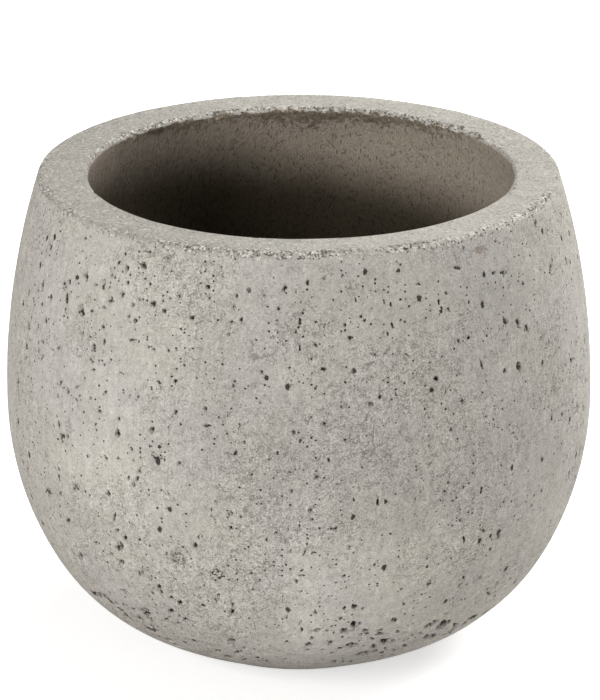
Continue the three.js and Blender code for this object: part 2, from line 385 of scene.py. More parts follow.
PHOTO_VOIDS: dict[VoidKind, tuple[Mark, ...]] = {
    VoidKind.HOLE: (
        Mark(x=81, y=311, wide=5, tall=13), Mark(x=93, y=347, wide=4, tall=9),
        Mark(x=28, y=326, wide=3, tall=9), Mark(x=86, y=276, wide=3, tall=8),
        Mark(x=143, y=266, wide=6, tall=7), Mark(x=127, y=268, wide=4, tall=6),
        Mark(x=164, y=311, wide=4, tall=6), Mark(x=135, y=321, wide=4, tall=6),
        Mark(x=192, y=318, wide=4.5, tall=6), Mark(x=58, y=348, wide=3, tall=4),
        Mark(x=68, y=392, wide=3.5, tall=5), Mark(x=175, y=381, wide=3.5, tall=5),
        Mark(x=99, y=412, wide=3.5, tall=5), Mark(x=117, y=434, wide=5, tall=9),
        Mark(x=118, y=419, wide=3, tall=6), Mark(x=152, y=430, wide=5, tall=6),
        Mark(x=108, y=494, wide=4.5, tall=6), Mark(x=131, y=449, wide=3, tall=5),
        Mark(x=117, y=531, wide=4, tall=4), Mark(x=125, y=538, wide=4, tall=5),
        Mark(x=80, y=557, wide=4, tall=7), Mark(x=171, y=612, wide=5, tall=6),
        Mark(x=185, y=620, wide=6, tall=4.5), Mark(x=133, y=610, wide=3.5, tall=3),
        Mark(x=237, y=296, wide=3, tall=5, lean=-30), Mark(x=264, y=296, wide=3, tall=3),
        Mark(x=232, y=322, wide=5, tall=3.5), Mark(x=242, y=319, wide=3, tall=5, lean=20),
        Mark(x=301, y=302, wide=3.5, tall=3.5), Mark(x=300, y=322, wide=3.5, tall=9),
        Mark(x=300, y=349, wide=3, tall=6), Mark(x=316, y=345, wide=3.5, tall=5, lean=-40),
        Mark(x=356, y=300, wide=3, tall=4.5), Mark(x=362, y=317, wide=4, tall=4),
        Mark(x=365, y=321, wide=3.5, tall=4), Mark(x=351, y=338, wide=4.5, tall=4),
        Mark(x=393, y=325, wide=3.5, tall=7, lean=-20), Mark(x=324, y=369, wide=7, tall=4),
        Mark(x=294, y=432, wide=3.5, tall=4), Mark(x=325, y=424, wide=3, tall=6),
        Mark(x=439, y=302, wide=2.5, tall=8), Mark(x=506, y=321, wide=4, tall=7, lean=-15),
        Mark(x=518, y=322, wide=3, tall=9, lean=-12),
        Mark(x=482, y=365, wide=3, tall=9, lean=-12), Mark(x=459, y=341, wide=3.5, tall=6),
        Mark(x=469, y=338, wide=4, tall=4.5), Mark(x=494, y=273, wide=3.5, tall=4),
        Mark(x=519, y=366, wide=4.5, tall=10), Mark(x=436, y=379, wide=6, tall=4.5),
        Mark(x=449, y=483, wide=3.5, tall=3.5), Mark(x=484, y=531, wide=3.5, tall=4),
        Mark(x=232, y=613, wide=6, tall=7), Mark(x=232, y=642, wide=9, tall=5, lean=15),
        Mark(x=302, y=630, wide=3, tall=6), Mark(x=318, y=630, wide=12, tall=3.5, lean=-12),
        Mark(x=309, y=645, wide=9, tall=4), Mark(x=331, y=643, wide=7, tall=4, lean=-15),
        Mark(x=345, y=631, wide=9, tall=5), Mark(x=354, y=625, wide=7, tall=7),
        Mark(x=355, y=607, wide=7, tall=5), Mark(x=353, y=645, wide=14, tall=4),
        Mark(x=373, y=639, wide=5, tall=3), Mark(x=374, y=647, wide=7, tall=4),
        Mark(x=385, y=642, wide=6, tall=4, lean=-15),
        Mark(x=444, y=625, wide=11, tall=5, lean=-35),
        Mark(x=427, y=637, wide=7, tall=4, lean=-20),
        Mark(x=434, y=636, wide=6, tall=3.5, lean=-25),
        Mark(x=427, y=627, wide=5, tall=3, lean=-25), Mark(x=398, y=632, wide=4, tall=3),
        Mark(x=245, y=661, wide=6, tall=3), Mark(x=90, y=398, wide=2, tall=5),
        Mark(x=176, y=412, wide=4, tall=5), Mark(x=60, y=494, wide=2, tall=6),
        Mark(x=95, y=543, wide=3, tall=4), Mark(x=171, y=598, wide=3, tall=5),
        Mark(x=166, y=621, wide=5, tall=3), Mark(x=195, y=546, wide=4, tall=6),
        Mark(x=198, y=538, wide=3, tall=4), Mark(x=229, y=335, wide=4, tall=4),
        Mark(x=208, y=287, wide=4, tall=6), Mark(x=296, y=292, wide=2.5, tall=4),
        Mark(x=296, y=332, wide=2.5, tall=5), Mark(x=308, y=283, wide=3.5, tall=7),
        Mark(x=391, y=304, wide=3, tall=6), Mark(x=245, y=389, wide=5, tall=2.5),
        Mark(x=262, y=372, wide=2.5, tall=6), Mark(x=464, y=248, wide=2.5, tall=5),
        Mark(x=469, y=302, wide=2, tall=5), Mark(x=457, y=375, wide=3, tall=3.5),
        Mark(x=446, y=392, wide=2, tall=5), Mark(x=464, y=578, wide=2.5, tall=5),
        Mark(x=456, y=625, wide=5, tall=3), Mark(x=405, y=646, wide=4, tall=3),
        Mark(x=292, y=491, wide=3, tall=5), Mark(x=329, y=460, wide=3.5, tall=5),
        Mark(x=315, y=553, wide=4, tall=2.5), Mark(x=246, y=638, wide=4, tall=2),
        Mark(x=287, y=642, wide=4, tall=3), Mark(x=312, y=639, wide=4.5, tall=3),
        Mark(x=345, y=609, wide=4, tall=5), Mark(x=332, y=653, wide=5, tall=2),
        Mark(x=343, y=662, wide=4, tall=2.5), Mark(x=286, y=660, wide=4, tall=2.5),
        Mark(x=131, y=340, wide=4, tall=3), Mark(x=112, y=275, wide=3, tall=4),
        Mark(x=179, y=296, wide=3, tall=3), Mark(x=93, y=370, wide=3, tall=4),
        Mark(x=120, y=373, wide=2.5, tall=3), Mark(x=57, y=396, wide=2, tall=3.5),
        Mark(x=63, y=388, wide=2.5, tall=3), Mark(x=76, y=387, wide=3, tall=3),
        Mark(x=105, y=392, wide=2.5, tall=3), Mark(x=160, y=387, wide=3, tall=3),
        Mark(x=138, y=397, wide=2.5, tall=3.5), Mark(x=95, y=285, wide=2.5, tall=4),
        Mark(x=129, y=317, wide=2.5, tall=3), Mark(x=103, y=327, wide=3, tall=4.5),
        Mark(x=135, y=340, wide=3, tall=3), Mark(x=153, y=349, wide=3, tall=3),
        Mark(x=77, y=349, wide=2.5, tall=2.5), Mark(x=215, y=520, wide=3, tall=3),
        Mark(x=211, y=510, wide=2.5, tall=2.5), Mark(x=313, y=520, wide=4, tall=4),
        Mark(x=314, y=506, wide=2.5, tall=2.5), Mark(x=336, y=529, wide=4, tall=3.5),
        Mark(x=342, y=515, wide=3, tall=3), Mark(x=308, y=539, wide=3, tall=3),
        Mark(x=288, y=529, wide=2, tall=4), Mark(x=291, y=551, wide=2, tall=3),
        Mark(x=302, y=571, wide=4, tall=3), Mark(x=265, y=572, wide=3, tall=2.5),
        Mark(x=260, y=581, wide=3, tall=3), Mark(x=232, y=606, wide=3, tall=3),
        Mark(x=319, y=603, wide=3, tall=3), Mark(x=301, y=622, wide=2.5, tall=3),
        Mark(x=328, y=631, wide=3.5, tall=3), Mark(x=334, y=633, wide=2.5, tall=3),
        Mark(x=323, y=650, wide=4, tall=2), Mark(x=347, y=588, wide=3, tall=2),
        Mark(x=360, y=624, wide=4, tall=4), Mark(x=366, y=631, wide=8, tall=3, lean=-8),
        Mark(x=381, y=634, wide=8, tall=3, lean=-10),
        Mark(x=366, y=653, wide=14, tall=3, lean=-5),
        Mark(x=359, y=655, wide=6, tall=2.5, lean=-5), Mark(x=335, y=662, wide=6, tall=2.5),
        Mark(x=386, y=649, wide=4, tall=2), Mark(x=394, y=650, wide=4, tall=2, lean=-10),
        Mark(x=394, y=641, wide=5, tall=2.5, lean=-15),
        Mark(x=389, y=640, wide=6, tall=3, lean=-15), Mark(x=382, y=656, wide=3, tall=2),
        Mark(x=376, y=651, wide=6, tall=2.5, lean=-8),
        Mark(x=421, y=633, wide=4, tall=2, lean=-20),
        Mark(x=435, y=622, wide=6, tall=3, lean=-30),
        Mark(x=431, y=625, wide=5, tall=2.5, lean=-30),
        Mark(x=444, y=622, wide=6, tall=3, lean=-35),
        Mark(x=450, y=622, wide=5, tall=2.5, lean=-35),
        Mark(x=475, y=617, wide=8, tall=3, lean=-38), Mark(x=363, y=609, wide=3, tall=2.5),
        Mark(x=404, y=604, wide=3, tall=3), Mark(x=402, y=589, wide=3, tall=3),
        Mark(x=489, y=594, wide=2.5, tall=4, lean=20),
        Mark(x=117, y=605, wide=6, tall=3, lean=45), Mark(x=126, y=606, wide=3, tall=3),
        Mark(x=123, y=605, wide=2.5, tall=2.5), Mark(x=169, y=618, wide=3, tall=3),
        Mark(x=179, y=617, wide=3, tall=4), Mark(x=178, y=624, wide=4, tall=3),
        Mark(x=159, y=588, wide=4, tall=6, lean=-20),
        Mark(x=161, y=593, wide=3, tall=5, lean=-20), Mark(x=153, y=589, wide=2.5, tall=2.5),
        Mark(x=169, y=641, wide=10, tall=3, lean=22), Mark(x=201, y=574, wide=2.5, tall=3),
        Mark(x=175, y=580, wide=2.5, tall=3), Mark(x=184, y=585, wide=3, tall=2.5),
    ),
    VoidKind.HOLLOW: (
        Mark(x=39, y=265, wide=3, tall=10), Mark(x=103, y=282, wide=5, tall=14),
        Mark(x=66, y=299, wide=3.5, tall=15), Mark(x=104, y=307, wide=7, tall=7),
        Mark(x=110, y=300, wide=6, tall=9, lean=20), Mark(x=121, y=295, wide=6, tall=10, lean=25),
        Mark(x=91, y=360, wide=7, tall=11), Mark(x=153, y=304, wide=7, tall=8),
        Mark(x=61, y=438, wide=7, tall=13), Mark(x=58, y=424, wide=3, tall=13, lean=-8),
        Mark(x=155, y=457, wide=8, tall=14, lean=-25), Mark(x=75, y=488, wide=10, tall=11),
        Mark(x=47, y=493, wide=8, tall=13, lean=-20), Mark(x=119, y=547, wide=9, tall=12),
        Mark(x=121, y=563, wide=6, tall=9, lean=-30),
        Mark(x=145, y=613, wide=15, tall=8, lean=35),
        Mark(x=103, y=597, wide=12, tall=5, lean=35), Mark(x=249, y=290, wide=6, tall=8),
        Mark(x=234, y=307, wide=5, tall=8), Mark(x=335, y=320, wide=7, tall=6),
        Mark(x=345, y=325, wide=4, tall=7), Mark(x=380, y=397, wide=5, tall=7, lean=15),
        Mark(x=316, y=388, wide=4, tall=9, lean=25), Mark(x=432, y=390, wide=6, tall=7),
        Mark(x=418, y=284, wide=9, tall=4), Mark(x=207, y=426, wide=11, tall=4),
        Mark(x=384, y=642, wide=11, tall=5), Mark(x=251, y=574, wide=5, tall=5),
        Mark(x=230, y=514, wide=7, tall=8), Mark(x=458, y=268, wide=10, tall=5),
        Mark(x=505, y=371, wide=4, tall=8), Mark(x=430, y=584, wide=7, tall=6, lean=-35),
        Mark(x=416, y=593, wide=6, tall=3.5, lean=-20),
        Mark(x=365, y=635, wide=13, tall=4, lean=-8),
        Mark(x=380, y=631, wide=11, tall=3, lean=-12), Mark(x=168, y=260, wide=8, tall=8),
        Mark(x=76, y=277, wide=5, tall=7), Mark(x=340, y=649, wide=8, tall=3),
        Mark(x=471, y=619, wide=9, tall=4, lean=-38), Mark(x=91, y=311, wide=5, tall=4),
        Mark(x=149, y=252, wide=5, tall=6), Mark(x=145, y=279, wide=4, tall=4),
        Mark(x=151, y=388, wide=4, tall=5), Mark(x=164, y=460, wide=3, tall=6),
        Mark(x=67, y=521, wide=5, tall=6), Mark(x=325, y=278, wide=6, tall=5),
        Mark(x=504, y=273, wide=10, tall=6), Mark(x=63, y=286, wide=5, tall=12),
        Mark(x=77, y=297, wide=6, tall=4), Mark(x=150, y=284, wide=4, tall=5),
        Mark(x=139, y=299, wide=5, tall=6), Mark(x=171, y=298, wide=5, tall=4),
        Mark(x=82, y=333, wide=3, tall=6), Mark(x=48, y=337, wide=4, tall=5),
        Mark(x=104, y=365, wide=3, tall=4), Mark(x=147, y=364, wide=4, tall=3),
        Mark(x=84, y=378, wide=3, tall=5), Mark(x=79, y=396, wide=3, tall=4),
        Mark(x=130, y=396, wide=4, tall=5), Mark(x=176, y=369, wide=4, tall=4),
        Mark(x=41, y=304, wide=3, tall=5), Mark(x=80, y=251, wide=5, tall=5),
        Mark(x=125, y=254, wide=3, tall=6), Mark(x=109, y=287, wide=3, tall=4),
        Mark(x=121, y=327, wide=4, tall=3), Mark(x=148, y=347, wide=5, tall=3),
        Mark(x=79, y=356, wide=8, tall=3), Mark(x=50, y=297, wide=4, tall=10),
        Mark(x=302, y=576, wide=10, tall=3), Mark(x=232, y=580, wide=4, tall=4),
        Mark(x=237, y=580, wide=6, tall=3), Mark(x=237, y=654, wide=7, tall=4),
        Mark(x=244, y=649, wide=4, tall=3), Mark(x=287, y=616, wide=4, tall=4),
        Mark(x=350, y=548, wide=4, tall=6), Mark(x=339, y=484, wide=8, tall=3),
        Mark(x=395, y=621, wide=8, tall=6), Mark(x=150, y=620, wide=14, tall=4, lean=35),
        Mark(x=149, y=597, wide=3, tall=3), Mark(x=142, y=572, wide=5, tall=8),
        Mark(x=240, y=653, wide=6, tall=4), Mark(x=218, y=596, wide=4, tall=4),
        Mark(x=440, y=627, wide=8, tall=3, lean=-30),
    ),
    VoidKind.SLIT: (
        Mark(x=42, y=285, wide=2, tall=15, lean=8), Mark(x=25, y=345, wide=2, tall=12),
        Mark(x=41, y=357, wide=2, tall=9, lean=15), Mark(x=22, y=303, wide=2, tall=8),
        Mark(x=17, y=382, wide=1.5, tall=20), Mark(x=60, y=383, wide=2.5, tall=9, lean=20),
        Mark(x=105, y=458, wide=2.5, tall=9, lean=-35), Mark(x=139, y=471, wide=2, tall=6),
        Mark(x=137, y=479, wide=2, tall=6, lean=15), Mark(x=134, y=485, wide=2, tall=6),
        Mark(x=114, y=517, wide=1.5, tall=12, lean=10), Mark(x=104, y=342, wide=2, tall=9),
        Mark(x=133, y=305, wide=2.5, tall=7, lean=15),
        Mark(x=527, y=328, wide=2, tall=9, lean=-15), Mark(x=305, y=553, wide=2, tall=8, lean=30),
        Mark(x=297, y=582, wide=2, tall=6, lean=-10), Mark(x=465, y=540, wide=1.5, tall=9),
        Mark(x=452, y=631, wide=11, tall=2, lean=-30), Mark(x=572, y=360, wide=2, tall=7),
        Mark(x=17, y=422, wide=1.5, tall=10), Mark(x=128, y=619, wide=20, tall=3, lean=38),
        Mark(x=194, y=642, wide=9, tall=3, lean=15), Mark(x=218, y=652, wide=8, tall=3, lean=12),
        Mark(x=449, y=309, wide=2, tall=6, lean=-20), Mark(x=69, y=282, wide=2, tall=7),
        Mark(x=25, y=357, wide=2, tall=7), Mark(x=50, y=247, wide=2, tall=9),
        Mark(x=231, y=528, wide=2, tall=7), Mark(x=456, y=626, wide=10, tall=2.5, lean=-32),
        Mark(x=461, y=630, wide=8, tall=2.5, lean=-35),
        Mark(x=465, y=624, wide=10, tall=2.5, lean=-38),
        Mark(x=486, y=612, wide=8, tall=2, lean=-42), Mark(x=92, y=594, wide=14, tall=3, lean=45),
        Mark(x=98, y=597, wide=14, tall=3, lean=42), Mark(x=110, y=603, wide=16, tall=3, lean=40),
        Mark(x=121, y=612, wide=18, tall=3, lean=38),
        Mark(x=140, y=620, wide=14, tall=3, lean=35),
        Mark(x=149, y=630, wide=18, tall=3, lean=32),
        Mark(x=155, y=631, wide=12, tall=3, lean=32),
        Mark(x=176, y=646, wide=12, tall=3, lean=20),
        Mark(x=228, y=658, wide=14, tall=2.5, lean=12),
    ),
    VoidKind.CRATER: (
        Mark(x=178, y=560, wide=17, tall=17), Mark(x=216, y=576, wide=13, tall=14),
        Mark(x=406, y=356, wide=5, tall=7, lean=25), Mark(x=371, y=405, wide=7, tall=6),
    ),
    VoidKind.STAIN: (Mark(x=480, y=250, wide=14, tall=8),),
    VoidKind.PEBBLE: (Mark(x=460, y=126, wide=6, tall=3.5),),
}
FLAT_MARKS = (VoidKind.STAIN, VoidKind.PEBBLE)
VOID_DEPTH = {  # in parts of the blemish's width
    VoidKind.HOLE: 0.75, VoidKind.HOLLOW: 0.3, VoidKind.SLIT: 0.9, VoidKind.CRATER: 0.14,
    VoidKind.CHIP: 0.22, VoidKind.STAIN: 0, VoidKind.PEBBLE: 0,
}
DEEPEST_VOID = {  # in metres
    VoidKind.HOLE: 0.0028, VoidKind.HOLLOW: 0.0012, VoidKind.SLIT: 0.0014, VoidKind.CRATER: 0.0011,
    VoidKind.CHIP: 0.0011, VoidKind.STAIN: 0, VoidKind.PEBBLE: 0,
}
# How dark each kind of blemish is painted: painted shade in its hollow, together with dirt.
VOID_DARKNESS = {
    VoidKind.HOLE: 1, VoidKind.HOLLOW: 0.93, VoidKind.SLIT: 1, VoidKind.CRATER: 0.92, VoidKind.CHIP: 0.42,
}
# Chips on the inner edge get less of that painted shade and dirt.
INNER_CHIP_DARKNESS = 0.2


@dataclass
class Blemishes:
    """Lays out the blemishes: those that the photograph shows, and scattered ones all round."""

    section: BowlSection
    view: PhotoView
    seed: int = 11
    scattered: int = 500
    smallest: float = 0.0015
    largest: float = 0.0048
    outer_chips: int = 70
    inner_chips: int = 120
    thinnest_slit: float = 2.8
    longest_half: float = 0.0055
    clear: float = 0.004
    ray_reach: tuple[float, float] = (1.5, 2.6)
    ray_step: float = 0.0004
    skin: np.ndarray = field(init=False)

    def __post_init__(self) -> None:
        """Works out the skin's outline once."""
        self.skin = self.section.skin()

    def radius_at(self, height: float | np.ndarray) -> float | np.ndarray:
        """The skin's radius at a height, or at each of many."""
        return np.interp(height, self.skin[:, 1], self.skin[:, 0])

    def surface(self, point: Vector) -> tuple[Vector, Vector, Vector]:
        """The skin's directions at a point.

        Args:
            point: On the skin.

        Returns:
            The outward normal, the level direction to the right as seen from outside, and up the skin.
        """
        on_rim = math.hypot(point.x, point.y) < self.section.rim_corner_radius - 2 * MM
        if on_rim and point.z > self.section.height - MM:
            return Vector((0, 0, 1)), Vector((1, 0, 0)), Vector((0, 1, 0))
        step = 2 * MM
        slope = (self.radius_at(point.z + step) - self.radius_at(point.z - step)) / (2 * step)
        outward = Vector((point.x, point.y, 0)).normalized()
        across = Vector((-outward.y, outward.x, 0))
        up = (outward * slope + Vector((0, 0, 1))).normalized()
        return across.cross(up), across, up

    def hit(self, x: float, y: float) -> Vector | None:
        """Where the photograph's ray through a pixel first meets the skin.

        Args:
            x: The pixel's distance from the picture's left edge.
            y: Its distance from the picture's top edge.

        Returns:
            The place, or None where the ray misses the skin.
        """
        reach = np.arange(*self.ray_reach, self.ray_step)
        places = np.array(Vector(self.view.position)) + reach[:, None] * np.array(self.view.ray(x, y))
        height = places[:, 2]
        inside = np.hypot(places[:, 0], places[:, 1]) < self.radius_at(height)
        inside &= (height > self.section.underside) & (height < self.section.height)
        first = np.flatnonzero(inside)
        return Vector(places[first[0]]) if len(first) else None

    def from_photo(self, kind: VoidKind, mark: Mark) -> Void | None:
        """Lays a blemish of the photograph on the skin.

        Args:
            kind: What it is.
            mark: Where the photograph shows it.

        Returns:
            The blemish, or None where the ray misses the skin.
        """
        centre = self.hit(mark.x, mark.y)
        if centre is None:
            return None
        normal, across, up = self.surface(centre)
        step = 0.5 * MM
        here = self.view.pixel(centre)
        columns = [(self.view.pixel(centre + way * step) - here) / step for way in (across, up)]
        to_pixels = np.array([[columns[0].x, columns[1].x], [columns[0].y, columns[1].y]])
        lean = math.radians(mark.lean)
        turn = np.array([[math.cos(lean), math.sin(lean)], [-math.sin(lean), math.cos(lean)]])
        wide, tall = mark.wide, mark.tall
        if kind is VoidKind.SLIT:
            wide, tall = max(wide, self.thinnest_slit), max(tall, self.thinnest_slit)
        halves = np.array([[2 / wide, 0], [0, 2 / tall]])
        out, stretches, back = np.linalg.svd(halves @ turn @ to_pixels)
        stretches = np.maximum(stretches, 1 / self.longest_half)
        return self.make(kind, centre, (normal, across, up), out @ np.diag(stretches) @ back, 1 / stretches)

    def make(
        self,
        kind: VoidKind,
        centre: Vector,
        ways: tuple[Vector, Vector, Vector],
        shape: np.ndarray,
        sizes: np.ndarray,
    ) -> Void:
        """Puts a blemish together, with a depth that suits its kind and size.

        Args:
            kind: What it is.
            centre: On the surface.
            ways: The surface's normal, across and up.
            shape: From metres across and up to parts of the half size.
            sizes: Its half sizes, in metres.

        Returns:
            The blemish.
        """
        depth = min(2 * float(min(sizes)) * VOID_DEPTH[kind], DEEPEST_VOID[kind])
        return Void(kind, centre, *ways, shape, float(max(sizes)), depth)

    def scatter(self, rng: random.Random, shown: list[Void]) -> list[Void]:
        """Scatters small voids over the whole skin, thicker in some patches than in others.

        Args:
            rng: Where the chances come from.
            shown: The photograph's own blemishes, which stay clear.

        Returns:
            The voids.
        """
        steps = np.hypot(*np.diff(self.skin, axis=0).T)
        area = np.cumsum(steps * self.skin[1:, 0])
        taken = np.array([void.centre for void in shown])
        made = []
        while len(made) < self.scattered:
            row = int(np.searchsorted(area, rng.random() * area[-1]))
            azimuth = rng.random() * math.tau
            radius, height = self.skin[row]
            centre = Vector((radius * math.cos(azimuth), radius * math.sin(azimuth), height))
            at_front = float(smooth(-0.06, -0.12, centre.y))
            crowd = noise.noise(centre * 14) + 0.9 * (height < 0.05) - 0.15 * at_front
            if height < 0.008 or height > 0.292 or rng.random() > 0.45 + crowd:
                continue
            if np.linalg.norm(taken - np.array(centre), axis=1).min() < self.clear:
                continue
            size = self.smallest + (self.largest - self.smallest) * rng.random() ** 2.6
            half = 0.5 * size * (1 - 0.4 * at_front)
            stretch = 1 + 1.1 * rng.random() ** 2
            lean = rng.gauss(0, 0.5)
            kind = rng.choices((VoidKind.HOLE, VoidKind.HOLLOW, VoidKind.SLIT), (5, 3, 1 - at_front))[0]
            stretch *= 2.2 if kind is VoidKind.SLIT else 1
            turn = np.array([[math.cos(lean), math.sin(lean)], [-math.sin(lean), math.cos(lean)]])
            sizes = np.array([half, half * stretch])
            made.append(self.make(kind, centre, self.surface(centre), np.diag(1 / sizes) @ turn, sizes))
        return made

    def chips(self, rng: random.Random, count: int, radius: float, lean: int) -> list[Void]:
        """Knocks chips out of one edge of the rim.

        Args:
            rng: Where the chances come from.
            count: How many chips.
            radius: Of the edge.
            lean: 1 for the outer edge, which faces out and up, and -1 for the inner edge.

        Returns:
            The chips.
        """
        made = []
        for _ in range(count):
            gathered = rng.random() < (0.85 if lean < 0 else 0.6)
            middle = math.radians(90 if lean < 0 else -65)
            azimuth = rng.gauss(middle, 0.7) if gathered else rng.random() * math.tau
            outward = Vector((math.cos(azimuth), math.sin(azimuth), 0))
            centre = outward * (radius + rng.gauss(0, 0.0012))
            centre.z = self.section.height - 0.0008
            normal = (outward * lean * 0.8 + Vector((0, 0, 1))).normalized()
            across = Vector((-outward.y, outward.x, 0))
            half = 0.0009 + 0.0022 * rng.random() ** 2
            sizes = np.array([half * (1 + rng.random()), half])
            ways = (normal, across, normal.cross(across))
            made.append(self.make(VoidKind.CHIP, centre, ways, np.diag(1 / sizes), sizes))
        return made

    def build(self) -> list[Void]:
        """Lays out every blemish.

        Returns:
            The blemishes, those of the photograph first.
        """
        rng = random.Random(self.seed)
        section = self.section
        shown = [self.from_photo(kind, mark) for kind, marks in PHOTO_VOIDS.items() for mark in marks]
        made = [void for void in shown if void]
        made += self.scatter(rng, made)
        made += self.chips(rng, self.outer_chips, section.rim_corner_radius - 0.001, 1)
        made += self.chips(rng, self.inner_chips, section.rim_corner_radius - section.wall + 0.0005, -1)
        return made


# ------------------------------------------------------------------------------------------ mesh tools


def start_fresh() -> None:
    """Deselects everything, so that an operator acts only on what comes next."""
    if bpy.context.object and bpy.context.object.mode != "OBJECT":
        bpy.ops.object.mode_set(mode="OBJECT")
    bpy.ops.object.select_all(action="DESELECT")


def turned(
    name: str, outline: list[tuple[float, float]], steps: int, axis: tuple[float, float] = (0, 0)
) -> bpy.types.Object:
    """Turns a closed outline, or one that ends on the axis, into a solid.

    Args:
        name: Of the new piece.
        outline: Radius and height of each point, in metres, up the outside and down the inside.
        steps: How many facets go round.
        axis: Where the upright axis stands.

    Returns:
        The piece, with its place in its mesh.
    """
    start_fresh()
    radius, height = outline[0]
    bpy.ops.mesh.primitive_plane_add(size=MM, location=(axis[0] + radius, axis[1], height))
    piece = bpy.context.object
    piece.name = piece.data.name = name
    bpy.ops.object.mode_set(mode="EDIT")
    bpy.ops.mesh.select_mode(type="VERT")
    bpy.ops.mesh.select_all(action="SELECT")
    bpy.ops.mesh.merge(type="CENTER")
    for (r0, z0), (r1, z1) in zip(outline, outline[1:]):
        bpy.ops.mesh.extrude_region_move(TRANSFORM_OT_translate={"value": (r1 - r0, 0, z1 - z0)})
    bpy.ops.mesh.select_all(action="SELECT")
    bpy.ops.mesh.spin(steps=steps, angle=math.tau, center=(*axis, 0), axis=(0, 0, 1))
    bpy.ops.mesh.select_all(action="SELECT")
    bpy.ops.mesh.remove_doubles(threshold=SAME_POINT)
    bpy.ops.mesh.normals_make_consistent(inside=False)
    bpy.ops.object.mode_set(mode="OBJECT")
    bpy.ops.object.transform_apply(location=True, rotation=True, scale=True)
    return piece


def positions(mesh: bpy.types.Mesh, what: str = "co") -> np.ndarray:
    """Reads every vertex.

    Args:
        mesh: In object mode.
        what: "co" for places, or "normal" for normals.

    Returns:
        One row for each vertex.
    """
    flat = np.empty(len(mesh.vertices) * 3, np.float32)
    mesh.vertices.foreach_get(what, flat)
    return flat.reshape(-1, 3).astype(float)


def write_attribute(mesh: bpy.types.Mesh, name: str, values: np.ndarray) -> None:
    """Stores one number for each vertex, for the material to read."""
    layer = mesh.attributes.new(name, "FLOAT", "POINT")
    layer.data.foreach_set("value", np.asarray(values, np.float32))


def waves(places: np.ndarray, size: float, octaves: int = 2, seed: float = 0) -> np.ndarray:
    """Smooth noise of about -1 to 1 at each place, with features of that size in metres."""
    shift = Vector((seed, seed * 1.7, seed * 0.6))
    return np.array([noise.fractal(Vector(p) / size + shift, 1, 2, octaves) for p in places])


def smooth(low: float, high: float, value: np.ndarray) -> np.ndarray:
    """0 below low, 1 above high, and an even ease between them."""
    part = np.clip((value - low) / (high - low), 0, 1)
    return part * part * (3 - 2 * part)


# ------------------------------------------------------------------------------------------ materials


def srgb(red: float, green: float, blue: float) -> tuple[float, float, float, float]:
    """A colour for a shader.

    Args:
        red: As it shows on a screen, 0 to 255.
        green: The same for green.
        blue: The same for blue.

    Returns:
        The colour in linear light, with an alpha of 1.
    """
    parts = [v / 255 for v in (red, green, blue)]
    linear = [v / 12.92 if v <= 0.04045 else ((v + 0.055) / 1.055) ** 2.4 for v in parts]
    return (*linear, 1)


